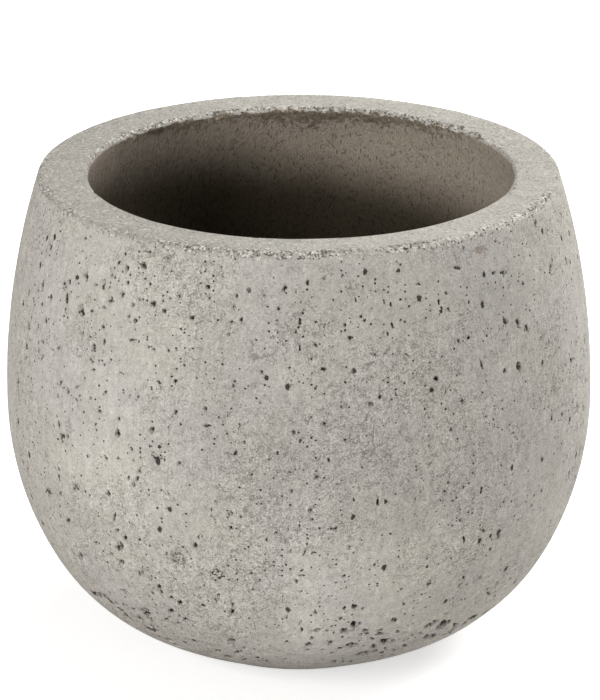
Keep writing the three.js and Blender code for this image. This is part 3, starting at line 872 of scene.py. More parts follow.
class Shader:
    """Adds nodes to one material. Lengths are in millimetres of the piece's own space."""

    def __init__(self, name: str, roughness: float, specular: float) -> None:
        """Starts a material.

        Args:
            name: Of the material.
            roughness: Of the whole surface, unless a node drives it.
            specular: The shader's specular level.
        """
        self.material = bpy.data.materials.new(name)
        self.material.use_nodes = True
        self.tree = self.material.node_tree
        self.surface = self.tree.nodes["Principled BSDF"]
        self.surface.inputs["Roughness"].default_value = roughness
        self.surface.inputs["Specular IOR Level"].default_value = specular
        coordinates = self.tree.nodes.new("ShaderNodeTexCoord")
        self.place = self.vector("SCALE", coordinates.outputs["Object"], scale=1 / MM)

    def node(self, kind: str, inputs: dict, **settings: object) -> bpy.types.Node:
        """Adds a node.

        Args:
            kind: The node's type, without its ShaderNode prefix.
            inputs: A value or a socket for each input, by its name or number.
            settings: The node's own options.

        Returns:
            The node.
        """
        made = self.tree.nodes.new("ShaderNode" + kind)
        for key, value in settings.items():
            setattr(made, key, value)
        for key, value in inputs.items():
            if isinstance(value, bpy.types.NodeSocket):
                self.tree.links.new(value, made.inputs[key])
            else:
                made.inputs[key].default_value = value
        return made

    def vector(
        self, operation: str, a: object, b: object = (0, 0, 0), scale: object = 1
    ) -> bpy.types.NodeSocket:
        """One step of vector arithmetic."""
        inputs = {0: a, "Scale": scale} if operation == "SCALE" else {0: a, 1: b}
        return self.node("VectorMath", inputs, operation=operation).outputs["Vector"]

    def math(self, operation: str, a: object, b: object = 0.0) -> bpy.types.NodeSocket:
        """One step of arithmetic."""
        return self.node("Math", {0: a, 1: b}, operation=operation).outputs[0]

    def ease(
        self, value: object, low: object, high: object, to_low: object = 0, to_high: object = 1
    ) -> bpy.types.NodeSocket:
        """Maps low to high onto to_low to to_high, eased and held at both ends."""
        inputs = {"Value": value, "From Min": low, "From Max": high, "To Min": to_low, "To Max": to_high}
        return self.node("MapRange", inputs, interpolation_type="SMOOTHSTEP").outputs["Result"]

    def attribute(self, name: str) -> bpy.types.NodeSocket:
        """A number that the mesh carries."""
        return self.node("Attribute", {}, attribute_name=name).outputs["Fac"]

    def moved(self, shift: float, stretch: tuple[float, float, float] = (1, 1, 1)) -> bpy.types.NodeSocket:
        """The place, moved for a pattern of its own.

        Args:
            shift: How far it is shifted, so that two patterns don't match.
            stretch: How far features are stretched along each axis.

        Returns:
            The place for a texture.
        """
        scale = tuple(1 / s for s in stretch)
        inputs = {"Vector": self.place, "Location": (shift, -shift, shift / 2), "Scale": scale}
        return self.node("Mapping", inputs).outputs["Vector"]

    def slanted(
        self, place: bpy.types.NodeSocket, lean: float, stretch: tuple[float, float, float]
    ) -> bpy.types.NodeSocket:
        """A place turned about Y by a lean in radians, so that what is stretched upright slants."""
        inputs = {"Vector": place, "Rotation": (0, lean, 0), "Scale": stretch}
        return self.node("Mapping", inputs, vector_type="TEXTURE").outputs["Vector"]

    def noise(
        self,
        size: float,
        detail: float = 2,
        shift: float = 0,
        stretch: tuple[float, float, float] = (1, 1, 1),
        roughness: float = 0.5,
    ) -> bpy.types.NodeSocket:
        """Cloudy noise.

        Args:
            size: Of its features.
            detail: How many finer layers it has.
            shift: Moves it, so that two patterns don't match.
            stretch: Makes its features longer along each axis.
            roughness: How strong the finer layers are.

        Returns:
            The noise, from 0 to 1.
        """
        inputs = {"Vector": self.moved(shift, stretch), "Scale": 1 / size}
        inputs |= {"Detail": detail, "Roughness": roughness}
        return self.node("TexNoise", inputs).outputs["Fac"]

    def ragged(
        self, amount: float, size: float, stretch: tuple[float, float, float] = (1, 1, 1)
    ) -> bpy.types.NodeSocket:
        """The place, pushed about by noise, which makes the outline of what reads it ragged.

        Args:
            amount: The furthest push.
            size: Of the noise's features.
            stretch: Makes what reads the place longer along each axis.

        Returns:
            The place.
        """
        clouds = self.node("TexNoise", {"Vector": self.place, "Scale": 1 / size, "Detail": 2})
        push = self.vector("SUBTRACT", clouds.outputs["Color"], (0.5, 0.5, 0.5))
        push = self.vector("SCALE", push, scale=2 * amount)
        return self.vector("DIVIDE", self.vector("ADD", self.place, push), stretch)

    def dots(
        self, place: bpy.types.NodeSocket, pitch: float, largest: float, share: object
    ) -> bpy.types.NodeSocket:
        """Scattered round spots, 1 in a spot and 0 outside.

        Args:
            place: Where each point is, in millimetres.
            pitch: Size of the cells that hold at most one spot each.
            largest: Radius of the largest spot.
            share: The share of cells that hold a spot.

        Returns:
            The spots.
        """
        cells = self.node("TexVoronoi", {"Vector": place, "Scale": 1 / pitch, "Randomness": 1})
        chance = self.node("SeparateColor", {"Color": cells.outputs["Color"]}).outputs["Red"]
        part = self.math("DIVIDE", self.math("SUBTRACT", share, chance), share)
        radius = self.math("MULTIPLY", self.math("MAXIMUM", part, 0.0), largest / pitch)
        return self.ease(cells.outputs["Distance"], radius, self.math("MULTIPLY", radius, 0.6))

    def mix(self, factor: object, a: object, b: object) -> bpy.types.NodeSocket:
        """Mixes two colours: a at 0, and b at 1."""
        return self.node("Mix", {0: factor, 6: a, 7: b}, data_type="RGBA").outputs[2]

    def shade(self, colour: object, factor: object) -> bpy.types.NodeSocket:
        """Multiplies a colour by a grey factor."""
        plain = colour if isinstance(colour, bpy.types.NodeSocket) else colour[:3]
        return self.vector("SCALE", plain, scale=factor)

    def bump(self, height: object, strength: float) -> bpy.types.NodeSocket:
        """Turns a height in millimetres into a normal."""
        return self.node("Bump", {"Height": height, "Distance": MM, "Strength": strength}).outputs["Normal"]

    def torn_edge(self, grain: bpy.types.NodeSocket, amount: float) -> bpy.types.NodeSocket:
        """How far into a void's painted shade and dirt the surface lies, roughened by a grain of 0 to 1."""
        rough = self.math("MULTIPLY", self.math("SUBTRACT", grain, 0.5), amount)
        return self.math("ADD", self.attribute("void"), rough)

    def finish(self, colour: object, normal: object = None, roughness: object = None) -> bpy.types.Material:
        """Connects the shader.

        Args:
            colour: Of the surface.
            normal: From a bump node.
            roughness: Where it changes over the surface.

        Returns:
            The finished material.
        """
        for socket, source in (("Base Color", colour), ("Normal", normal), ("Roughness", roughness)):
            if isinstance(source, bpy.types.NodeSocket):
                self.tree.links.new(source, self.surface.inputs[socket])
            elif source is not None:
                self.surface.inputs[socket].default_value = source
        return self.material


@dataclass(frozen=True)
class CastConcrete:
    """The skin as it left the mould, and where it is ground or worn, the sand under it."""

    warm: tuple = srgb(194, 189, 180)
    cool: tuple = srgb(193, 188, 182)
    bloom: tuple = srgb(217, 213, 207)
    # Painted shade and dirt, for pits and voids.
    pit_shade_and_dirt: tuple = srgb(42, 38, 33)
    smudge: tuple = srgb(112, 106, 96)
    ground: tuple = srgb(185, 181, 172)
    light_grain: tuple = srgb(226, 222, 214)
    dark_grain: tuple = srgb(92, 86, 79)
    rust: tuple = srgb(138, 119, 100)
    pink_grain: tuple = srgb(200, 178, 164)

    def build(self) -> bpy.types.Material:
        """Makes the material.

        Returns:
            The material. It reads the mesh's void, spot, worn, torn, tone and etched attributes.
        """
        s = Shader("cast_concrete", roughness=0.93, specular=0.2)
        grain = s.noise(1.15, 3, 101, roughness=0.8)
        mottle = s.noise(4.2, 5, 41, roughness=0.78)
        skin = self.skin(s, mottle)
        ground, show = self.ground_sand(s, mottle)
        colour = s.mix(show, skin, ground)
        etched = s.attribute("etched")
        darkest = s.ease(etched, 0, 1, 0.86, 0.6)
        colour = s.shade(colour, s.ease(grain, 0.33, 0.67, darkest, s.ease(etched, 0, 1, 1.1, 1.25)))

        thick = s.ease(s.noise(26, 4, 83, roughness=0.6), 0.4, 0.62, 0.22, 1.0)
        pinholes = s.dots(s.ragged(0.5, 0.8), 2.4, 0.92, s.math("MULTIPLY", thick, 0.6))
        pores = s.dots(s.ragged(1.2, 1.5, (1, 1, 1.5)), 6.2, 2.0, s.math("MULTIPLY", thick, 0.42))
        skin_only = s.math("SUBTRACT", 1.0, s.math("MULTIPLY", show, 0.8))
        holes = s.math("MULTIPLY", s.math("MAXIMUM", pinholes, pores), skin_only)
        shown = s.math("MULTIPLY", skin_only, s.ease(etched, 0.1, 0.7, 0.35, 1.0))
        crackle = s.math("MULTIPLY", self.crackle(s), shown)
        torn_edge = s.torn_edge(grain, 2.0)
        # Painted shade and dirt: pinholes, pores and the mesh's blemishes darken to near black.
        pits = s.math("MAXIMUM", s.math("MULTIPLY", holes, 0.93), s.ease(torn_edge, 0.47, 0.74, 0, 0.96))
        spot = s.attribute("spot")
        rusty = s.math("MULTIPLY", s.ease(spot, 0.1, 0.8), s.ease(mottle, 0.38, 0.58, 0.25, 0.75))
        colour = s.mix(rusty, colour, self.rust)
        colour = s.mix(s.ease(spot, -0.35, -0.6, 0, 0.85), colour, self.dark_grain)
        stains = s.dots(s.ragged(1.6, 2.6, (1, 1, 1.5)), 15, 4.2, 0.35)
        stains = s.math("MULTIPLY", stains, s.ease(s.noise(1.3, 3, 97, roughness=0.7), 0.45, 0.6))
        colour = s.mix(s.math("MULTIPLY", s.math("MULTIPLY", stains, skin_only), 0.55), colour, self.smudge)
        colour = s.mix(s.math("MULTIPLY", crackle, 0.72), colour, self.smudge)
        # Pale specks: pale sand grains, and painted highlights that stand in for lit pore edges.
        pale_specks_and_glints = s.ease(s.noise(1.3, 1, 163), 0.68, 0.75, 0, s.ease(etched, 0, 1, 0.3, 0.8))
        colour = s.mix(pale_specks_and_glints, colour, self.light_grain)
        colour = s.mix(pits, colour, self.pit_shade_and_dirt)

        height = s.math("MULTIPLY", holes, -0.5)
        for part, depth in ((stains, -0.15), (grain, 0.7), (mottle, 0.4), (crackle, -0.2)):
            height = s.math("ADD", height, s.math("MULTIPLY", part, depth))
        return s.finish(colour, s.bump(height, 0.85), s.ease(show, 0, 1, 0.94, 0.82))

    def skin(self, s: Shader, mottle: bpy.types.NodeSocket) -> bpy.types.NodeSocket:
        """The cement skin: patches, clouds, upright streaks and a pale bloom of lime.

        Args:
            s: The material's shader.
            mottle: Fine blotches, from 0 to 1.

        Returns:
            The skin's colour.
        """
        patches = s.ease(s.noise(52, 4, 3, (1, 1, 1.2), 0.6), 0.38, 0.62)
        colour = s.mix(patches, self.warm, self.cool)
        cloudy = s.noise(24, 5, 17, (1, 1, 1.5), 0.68)
        colour = s.shade(colour, s.ease(cloudy, 0.26, 0.74, 0.93, 1.06))
        streaks = s.noise(2.6, 3, 29, (1, 1, 14), 0.65)
        colour = s.shade(colour, s.ease(streaks, 0.28, 0.72, 0.94, 1.05))
        colour = s.shade(colour, s.ease(mottle, 0.3, 0.7, 0.88, 1.08))
        bloom = s.ease(s.noise(11, 5, 53, (1, 1, 1.5), 0.72), 0.53, 0.74)
        colour = s.mix(s.math("MULTIPLY", bloom, 0.6), colour, self.bloom)
        # The tone attribute holds weather patches and painted shade that darkens the foot.
        return s.shade(colour, s.math("ADD", s.attribute("tone_and_foot_shade"), 1.0))

    def ground_sand(
        self, s: Shader, mottle: bpy.types.NodeSocket
    ) -> tuple[bpy.types.NodeSocket, bpy.types.NodeSocket]:
        """Sand and cement laid open by grinding, and standing rough where an edge is torn.

        Args:
            s: The material's shader.
            mottle: Fine blotches, from 0 to 1.

        Returns:
            Its colour, and how far it shows.
        """
        torn = s.attribute("torn")
        sand = s.node("TexVoronoi", {"Vector": s.ragged(0.3, 1), "Scale": 1 / 1.15, "Randomness": 1})
        pick = s.node("SeparateColor", {"Color": sand.outputs["Color"]})
        few = s.ease(torn, 0, 1, 0.88, 0.72)
        dark_few = s.ease(torn, 0, 1, 0.88, 0.77)
        light = s.ease(pick.outputs["Red"], few, s.math("ADD", few, 0.02))
        dark = s.ease(pick.outputs["Blue"], dark_few, s.math("ADD", dark_few, 0.02))
        pink = s.ease(pick.outputs["Green"], 0.96, 0.97)
        colour = s.shade(self.ground, s.ease(mottle, 0.26, 0.74, 0.93, 1.06))
        colour = s.shade(colour, s.ease(s.noise(16, 4, 67), 0.3, 0.7, 0.93, 1.06))
        colour = s.shade(colour, s.math("ADD", s.attribute("tone_and_foot_shade"), 1.0))
        dashes = s.dots(s.ragged(1.5, 2.0, (1.7, 1, 1)), 4.0, 0.95, 0.5)
        colour = s.mix(s.math("MULTIPLY", dashes, 0.72), colour, self.dark_grain)
        colour = s.mix(s.math("MULTIPLY", light, s.ease(torn, 0, 1, 0.5, 0.85)), colour, self.light_grain)
        colour = s.mix(s.math("MULTIPLY", dark, s.ease(torn, 0, 1, 0.4, 0.9)), colour, self.dark_grain)
        colour = s.mix(s.math("MULTIPLY", pink, 0.6), colour, self.pink_grain)
        rough = s.ease(s.noise(2.2, 3, 71), 0.2, 0.8, -0.35, 0.35)
        return colour, s.ease(s.math("ADD", s.attribute("worn"), rough), 0.42, 0.6)

    def crackle(self, s: Shader) -> bpy.types.NodeSocket:
        """Fine worm-like crackle in the skin, and a few longer hairline cracks.

        Args:
            s: The material's shader.

        Returns:
            1 in a crack and 0 beside it.
        """
        worms = s.math("ABSOLUTE", s.math("SUBTRACT", s.noise(3.4, 2, 139, roughness=0.75), 0.5))
        where = s.ease(s.noise(4.5, 3, 149), 0.44, 0.58, 0.0, 0.9)
        worms = s.math("MULTIPLY", s.ease(worms, 0.042, 0.014), where)
        inputs = {"Vector": s.ragged(3.2, 7), "Scale": 1 / 24, "Randomness": 1}
        edges = s.node("TexVoronoi", inputs, feature="DISTANCE_TO_EDGE").outputs["Distance"]
        hairlines = s.math("MULTIPLY", s.ease(edges, 0.014, 0.004), s.ease(s.noise(34, 2, 113), 0.52, 0.6))
        hairlines = s.math("MULTIPLY", hairlines, s.ease(s.noise(5, 2, 127), 0.42, 0.55))
        return s.math("MAXIMUM", worms, hairlines)


@dataclass(frozen=True)
class TrowelledInside:
    """The inside, rubbed down by hand while still soft, with painted shade below the rim, most on the left.
    """

    # The first colour is the inside wall's own colour; the second is painted shade, which the wall darkens
    # to below the rim.
    upper_wall_colour: tuple = srgb(171, 160, 146)
    painted_shade_colour: tuple = srgb(70, 63, 51)
    crumb: tuple = srgb(122, 109, 88)
    dark_crumb: tuple = srgb(70, 58, 42)
    sand: tuple = srgb(206, 196, 178)
    # Painted shade and dirt, for pores and voids.
    pit_shade_and_dirt: tuple = srgb(36, 31, 25)

    def build(self) -> bpy.types.Material:
        """Makes the material.

        Returns:
            The material. It reads the mesh's void and crumb attributes, and the one that holds the painted
            shade below the rim.
        """
        s = Shader("trowelled_inside", roughness=0.95, specular=0.15)
        hatch = s.noise(0.75, 3, 13, (1, 1, 4.5), 0.7)
        slanted = self.strokes(s, math.radians(24), (1, 1, 6), 0.8)
        where = s.ease(s.noise(20, 2, 19), 0.4, 0.6)
        strokes = s.node("Mix", {"Factor": where, 2: hatch, 3: slanted}).outputs[0]
        comb = self.comb(s)
        clouds = s.ease(s.noise(26, 5, 31, roughness=0.6), 0.3, 0.7, -0.02, 0.02)
        # Painted shade: the colour darkens below the rim, most on the left, and eases off towards the
        # floor.
        colour = s.mix(s.ease(s.math("ADD", s.attribute("interior_painted_shade"), clouds), 0.0, 0.95), self.upper_wall_colour, self.painted_shade_colour)
        colour = s.shade(colour, s.ease(strokes, 0.36, 0.64, 0.78, 1.2))
        colour = s.shade(colour, s.ease(comb, 0, 1, 1.06, 0.64))
        colour = s.shade(colour, s.ease(s.noise(6, 5, 43, roughness=0.8), 0.28, 0.72, 0.96, 1.04))
        scratches = s.ease(self.strokes(s, math.radians(-62), (1, 1, 30), 1.3), 0.6, 0.68)
        scratches = s.math("MULTIPLY", scratches, s.ease(s.noise(30, 2, 37), 0.5, 0.6, 0, 0.16))
        colour = s.shade(colour, s.math("ADD", scratches, 1.0))
        dashes = s.ease(s.noise(0.9, 2, 61, (1, 1, 3.2), 0.6), 0.7, 0.76)
        pores = s.math("MAXIMUM", s.dots(s.ragged(0.5, 1.6), 6, 1.2, 0.4), s.math("MULTIPLY", dashes, 0.8))
        lumps = s.ease(s.noise(4.5, 5, 73, roughness=0.8), 0.27, 0.73, -0.75, 0.55)
        crumbly = s.math("ADD", s.attribute("crumb"), lumps)
        clods = s.mix(s.ease(s.noise(1.8, 4, 79, roughness=0.8), 0.38, 0.6), self.dark_crumb, self.crumb)
        colour = s.mix(s.ease(crumbly, 0.05, 1.05, 0, 0.74), colour, clods)
        grains = s.dots(s.ragged(0.3, 1), 2.6, 1.0, s.math("MULTIPLY", s.attribute("crumb"), 0.5))
        colour = s.mix(s.math("MULTIPLY", grains, 0.7), colour, self.sand)
        grain = s.noise(0.8, 3, 101, roughness=0.75)
        # Painted shade and dirt: pores and the mesh's voids darken to near black.
        voids = s.ease(s.torn_edge(grain, 1.3), 0.42, 0.86, 0, 0.85)
        pits = s.math("MAXIMUM", s.math("MULTIPLY", pores, 0.42), voids)
        colour = s.mix(pits, s.shade(colour, s.ease(grain, 0.28, 0.72, 0.9, 1.1)), self.pit_shade_and_dirt)
        height = s.math("MULTIPLY", strokes, 0.8)
        for part, depth in ((pores, -0.3), (grain, 0.4), (comb, -0.25), (s.ease(crumbly, 0.3, 0.8), 0.5)):
            height = s.math("ADD", height, s.math("MULTIPLY", part, depth))
        return s.finish(colour, s.bump(height, 0.85))

    def comb(self, s: Shader) -> bpy.types.NodeSocket:
        """Short dark strokes that a stiff brush leaves, upright and slanted.

        Args:
            s: The material's shader.

        Returns:
            1 in a stroke and 0 beside it.
        """
        lines, place = 0.0, s.ragged(0.7, 3.5)
        for lean, pitch, share in ((6, 1.8, 0.9), (-40, 2.3, 0.75), (72, 2.5, 0.65)):
            slanted = s.slanted(place, math.radians(lean), (1, 1, 4.2))
            lines = s.math("MAXIMUM", s.dots(slanted, pitch, 0.78, share), lines)
        return lines

    def strokes(
        self, s: Shader, lean: float, stretch: tuple[float, float, float], size: float
    ) -> bpy.types.NodeSocket:
        """Strokes of the hand across the inside wall.

        Args:
            s: The material's shader.
            lean: How far they lean from upright.
            stretch: Their length along each of their own axes, in parts of their width.
            size: Their width.

        Returns:
            The strokes, from 0 to 1.
        """
        inputs = {"Vector": s.slanted(s.place, lean, stretch), "Scale": 1 / size}
        inputs |= {"Detail": 3, "Roughness": 0.65}
        return s.node("TexNoise", inputs).outputs["Fac"]


@dataclass(frozen=True)
class Rubber:
    """Moulded or die-cut rubber, dusty with concrete."""

    name: str
    colour: tuple
    dust: tuple = srgb(120, 115, 106)
    dusty: float = 0.25

    def build(self) -> bpy.types.Material:
        """Makes the material.

        Returns:
            The material.
        """
        s = Shader(self.name, roughness=0.62, specular=0.4)
        grain = s.noise(0.5, 3, 7, roughness=0.6)
        patches = s.ease(s.noise(6, 4, 23, roughness=0.65), 0.45, 0.75, 0, self.dusty)
        colour = s.shade(self.colour, s.ease(grain, 0.3, 0.7, 0.85, 1.2))
        colour = s.mix(patches, colour, self.dust)
        rough = s.ease(patches, 0, self.dusty, 0.55, 0.85)
        return s.finish(colour, s.bump(s.math("MULTIPLY", grain, 0.06), 0.8), rough)


# ------------------------------------------------------------------------------------------ pieces


@dataclass(frozen=True)
class WeatherPatch:
    """A patch of skin that differs. Azimuth is in degrees from +X towards +Y, and the front is at -90."""

    azimuth: float
    height: float
    wide: float
    tall: float
    strength: float

    def over(self, places: np.ndarray) -> np.ndarray:
        """How far each place lies in the patch.

        Args:
            places: One row for each place.

        Returns:
            1 in the patch's middle, fading to 0 outside it.
        """
        azimuth = np.arctan2(places[:, 1], places[:, 0])
        radius = np.hypot(places[:, 0], places[:, 1])
        aside = np.angle(np.exp(1j * (azimuth - math.radians(self.azimuth)))) * radius
        return np.exp(-((aside / self.wide) ** 2) - ((places[:, 2] - self.height) / self.tall) ** 2)


@dataclass
class Bowl:
    """The cast bowl: one solid, with its air voids, worn edges and hand-laid unevenness in the mesh.

    A refinement is how far round a blemish the mesh is cut finer, and the longest edge that may stay there.
    """

    section: BowlSection
    blemishes: list[Void]
    steps: int = 192
    edge_band: float = 0.0055
    edge_spacing: float = 0.0027
    refinements: tuple[tuple[float, float], ...] = ((0.0028, 0.0035), (0.0010, 0.0019), (0.0002, 0.0011))
    last_cuts: tuple[float, ...] = (0.0024, 0.0022, 0.0020)
    most_triangles: int = 192_000
    halo: float = 1.8
    haloed: float = 0.0013
    ragged: float = 0.6
    unevenness: float = 0.00035
    rim_waviness: float = 0.0004
    mouth_shift: tuple[float, float] = (0.0014, -0.0018)
    seam_azimuth: float = math.radians(-92.6)
    seam_step: float = 0.0003
    seam_spacing: float = 0.0017
    seam_band: float = 0.0042
    seam_top: float = 0.19
    seam_ridge: float = 0.0011
    hand_waves: float = 0.0011
    # Patches give azimuth, height, width, tallness and strength.
    patches: tuple[WeatherPatch, ...] = (
        WeatherPatch(-128, 0.155, 0.028, 0.034, 0.11),
        WeatherPatch(-105, 0.190, 0.018, 0.065, -0.11),
        WeatherPatch(-97, 0.095, 0.014, 0.075, -0.06),
        WeatherPatch(-88, 0.055, 0.020, 0.022, 0.08),
        WeatherPatch(-72, 0.150, 0.040, 0.030, -0.05),
        WeatherPatch(-78, 0.225, 0.030, 0.018, 0.05),
        WeatherPatch(-72, 0.032, 0.040, 0.014, -0.15),
        WeatherPatch(-35, 0.195, 0.030, 0.040, -0.04),
        WeatherPatch(-70, 0.085, 0.030, 0.020, 0.05),
        WeatherPatch(-95, 0.185, 0.016, 0.050, -0.09),
        WeatherPatch(-81, 0.217, 0.016, 0.030, -0.06),
        WeatherPatch(-58, 0.122, 0.050, 0.020, 0.08),
        WeatherPatch(-87, 0.092, 0.018, 0.018, 0.05),
        WeatherPatch(-105, 0.072, 0.022, 0.016, 0.05),
        WeatherPatch(-128, 0.125, 0.040, 0.014, -0.06),
        WeatherPatch(-128, 0.060, 0.050, 0.018, -0.09),
        WeatherPatch(-82, 0.118, 0.090, 0.034, 0.10),
        WeatherPatch(-48, 0.272, 0.060, 0.022, -0.07),
        WeatherPatch(-150, 0.230, 0.080, 0.060, -0.03),
    )
    etched: tuple[WeatherPatch, ...] = (
        WeatherPatch(-112, 0.090, 0.050, 0.030, 0.6),
        WeatherPatch(-98, 0.150, 0.022, 0.040, 0.5),
        WeatherPatch(-76, 0.200, 0.035, 0.045, 0.45),
        WeatherPatch(-58, 0.170, 0.030, 0.050, 0.3),
        WeatherPatch(-138, 0.200, 0.040, 0.050, -0.5),
        WeatherPatch(-84, 0.090, 0.025, 0.030, -0.35),
        WeatherPatch(-55, 0.275, 0.060, 0.010, -0.4),
    )

    def build(self) -> bpy.types.Object:
        """Models the bowl and dresses it.

        Returns:
            The bowl.
        """
        piece = turned("cast_bowl", self.outline(), self.steps)
        self.refine(piece.data)
        self.shape(piece.data)
        self.dress(piece)
        start_fresh()
        piece.select_set(True)
        bpy.context.view_layer.objects.active = piece
        bpy.ops.object.shade_smooth_by_angle(angle=math.radians(38))
        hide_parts("planter_bowl")
        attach(piece, "planter")
        return piece

    def outline(self) -> list[tuple[float, float]]:
        """Joins the section's stretches.

        Returns:
            Radius and height of each point, closed and with none doubled.
        """
        walk = [point for _, spacing, part in self.section.stretches() for point in part.points(spacing)]
        kept = [p for i, p in enumerate(walk) if i == 0 or math.dist(p, walk[i - 1]) > SAME_POINT]
        return [*kept, kept[0]] if math.dist(kept[0], kept[-1]) > SAME_POINT else kept

    def refine(self, mesh: bpy.types.Mesh) -> None:
        """Cuts the mesh finer along the rim's edges and near each blemish, so that they have a shape.

        Args:
            mesh: The bowl's mesh.
        """
        bpy.ops.object.mode_set(mode="EDIT")
        bpy.ops.mesh.select_mode(type="EDGE")
        self.split(mesh, self.on_rim_edge, self.edge_spacing)
        for _ in range(2):
            self.split(mesh, self.on_seam, self.seam_spacing)
        centres = np.array([void.centre for void in self.blemishes])
        for margin, longest in self.refinements:
            reach = np.array([void.reach * 1.1 + margin for void in self.blemishes])
            self.split(mesh, lambda places: nearness(places, centres, reach) < 0, longest)
        reach = np.array([void.reach for void in self.blemishes])
        for longest in self.last_cuts:
            self.split(mesh, lambda places: nearness(places, centres, reach) < 0, longest, by_ends=True)
        bpy.ops.object.mode_set(mode="OBJECT")

    def on_rim_edge(self, centres: np.ndarray) -> np.ndarray:
        """Finds the edges of the rim.

        Args:
            centres: One row for each place.

        Returns:
            Which of them lie on the rim's outer or inner edge.
        """
        radius = np.hypot(centres[:, 0], centres[:, 1])
        outer = self.section.rim_corner_radius
        inner = outer - self.section.wall
        at_top = centres[:, 2] > self.section.height - self.edge_band
        beside = np.minimum(abs(radius - outer), abs(radius - inner))
        return at_top & (beside < self.edge_band)

    def on_seam(self, centres: np.ndarray) -> np.ndarray:
        """Finds the mould's seams, which show on the lower part of the front and back.

        Args:
            centres: One row for each place.

        Returns:
            Which of them lie on a seam.
        """
        radius, height = np.hypot(centres[:, 0], centres[:, 1]), centres[:, 2]
        seam = np.arctan2(centres[:, 1], centres[:, 0]) - self.seam_azimuth
        beside = abs(np.sin(seam)) * radius < self.seam_band
        skin = radius > np.interp(height, *self.section.skin().T[::-1]) - 0.003
        return beside & skin & (height < self.seam_top) & (height > self.section.underside + 0.004)

    def split(
        self,
        mesh: bpy.types.Mesh,
        wanted: Callable[[np.ndarray], np.ndarray],
        longest: float,
        by_ends: bool = False,
    ) -> None:
        """Halves the edges that are wanted and longer than they should be.

        Args:
            mesh: In edit mode.
            wanted: Says which of the edges' middles are wanted.
            longest: The longest edge that may stay, in metres.
            by_ends: Whether it is asked of an edge's two ends instead of its middle.
        """
        shape = bmesh.from_edit_mesh(mesh)
        triangles = sum(len(face.verts) - 2 for face in shape.faces)
        LOG.info("the bowl has %d triangles before this cut", triangles)
        if triangles > self.most_triangles:
            LOG.warning("the bowl has %d triangles, so it is left as it is", triangles)
            return
        ends = np.array([(*edge.verts[0].co, *edge.verts[1].co) for edge in shape.edges])
        lengths = np.linalg.norm(ends[:, :3] - ends[:, 3:], axis=1)
        picked = lengths > longest
        chosen = ends[picked]
        if by_ends:
            picked[picked] = wanted(chosen[:, :3]) | wanted(chosen[:, 3:])
        else:
            picked[picked] = wanted((chosen[:, :3] + chosen[:, 3:]) / 2)
        bpy.ops.mesh.select_all(action="DESELECT")
        for edge, cut in zip(shape.edges, picked):
            if cut:
                edge.select_set(True)
        bmesh.update_edit_mesh(mesh)
        bpy.ops.mesh.subdivide(number_cuts=1, ngon=False)

    def shape(self, mesh: bpy.types.Mesh) -> None:
        """Moves the vertices by hand-laid unevenness, and sinks the blemishes.

        Args:
            mesh: The bowl's mesh.
        """
        section = self.section
        places, normals = positions(mesh), positions(mesh, "normal")
        radius, height = np.hypot(places[:, 0], places[:, 1]), places[:, 2]
        azimuth = np.arctan2(places[:, 1], places[:, 0])
        skin = Blemishes(section, PhotoView()).radius_at(height)
        outside = smooth(-0.006, -0.002, radius - skin) * smooth(0.002, 0.012, height - section.underside)
        outside *= 1 - smooth(-0.004, -0.001, height - section.height)
        inside = (radius < skin - section.wall / 2) & (height > section.inner_floor - 0.001)
        top = smooth(-0.008, -0.001, height - section.height)

        uneven = waves(places, 0.075, 3, 1) * 0.5 - 0.5
        drop = self.unevenness * np.clip(uneven, -1, 0) * outside
        seam = np.angle(np.exp(1j * (azimuth - self.seam_azimuth)))
        from_seam = np.minimum(abs(seam), math.pi - abs(seam)) * radius
        ridge = np.exp(-((from_seam / self.seam_ridge) ** 2))
        strength = self.seam_step * outside * (0.35 + 0.65 * smooth(self.seam_top, 0.12, height))
        from_back = (math.pi - abs(seam)) * radius
        drop -= strength * smooth(-0.0008, 0.0008, -seam * radius) * smooth(0, 0.0016, from_back)
        drop += strength * 0.9 * ridge
        hand = waves(places, 0.045, 3, 5) * self.hand_waves
        wavy = np.where(inside & (height > section.inner_floor + 0.008), hand, 0) * (1 - top)
        moved = places + normals * (np.minimum(drop, 0) + wavy)[:, None]

        lift = smooth(section.inner_floor + 0.02, section.height - 0.05, height)
        inner_side = 1 - smooth(-section.wall, -section.wall * 0.35, radius - skin)
        for axis, shift in enumerate(self.mouth_shift):
            moved[:, axis] += shift * lift * inner_side
        moved[:, 2] -= self.rim_waviness * top * (0.5 + 0.5 * waves(places, 0.03, 3, 9))

        depth, spots = self.sink(moved, places)
        moved = self.kept_inside(moved)
        mesh.vertices.foreach_set("co", moved.astype(np.float32).ravel())
        mesh.update()
        # The void attribute holds painted shade and dirt in each blemish.
        write_attribute(mesh, "void", depth)
        write_attribute(mesh, "spot", spots)
        write_attribute(mesh, "worn", self.worn(radius, height))
        write_attribute(mesh, "torn", self.torn(places, radius))
        write_attribute(mesh, "tone_and_foot_shade", self.tone_and_foot_shade(places, seam, outside))
        rough = sum(patch.strength * patch.over(places) for patch in self.etched)
        etched = 0.42 + 0.5 * waves(places, 0.035, 3, 77) + rough - 0.5 * top
        write_attribute(mesh, "etched", np.clip(etched, 0, 1))
        # Painted shade inside the bowl: darker below the rim, most on the left, and less again near the
        # floor.
        down = section.height - height
        painted_inner_shade = smooth(0.004, 0.083, down - 0.15 * places[:, 0]) * (1 - 0.7 * smooth(0.12, 0.2, down))
        write_attribute(mesh, "interior_painted_shade", painted_inner_shade)
        write_attribute(mesh, "crumb", self.crumb(places, down, np.degrees(azimuth)))

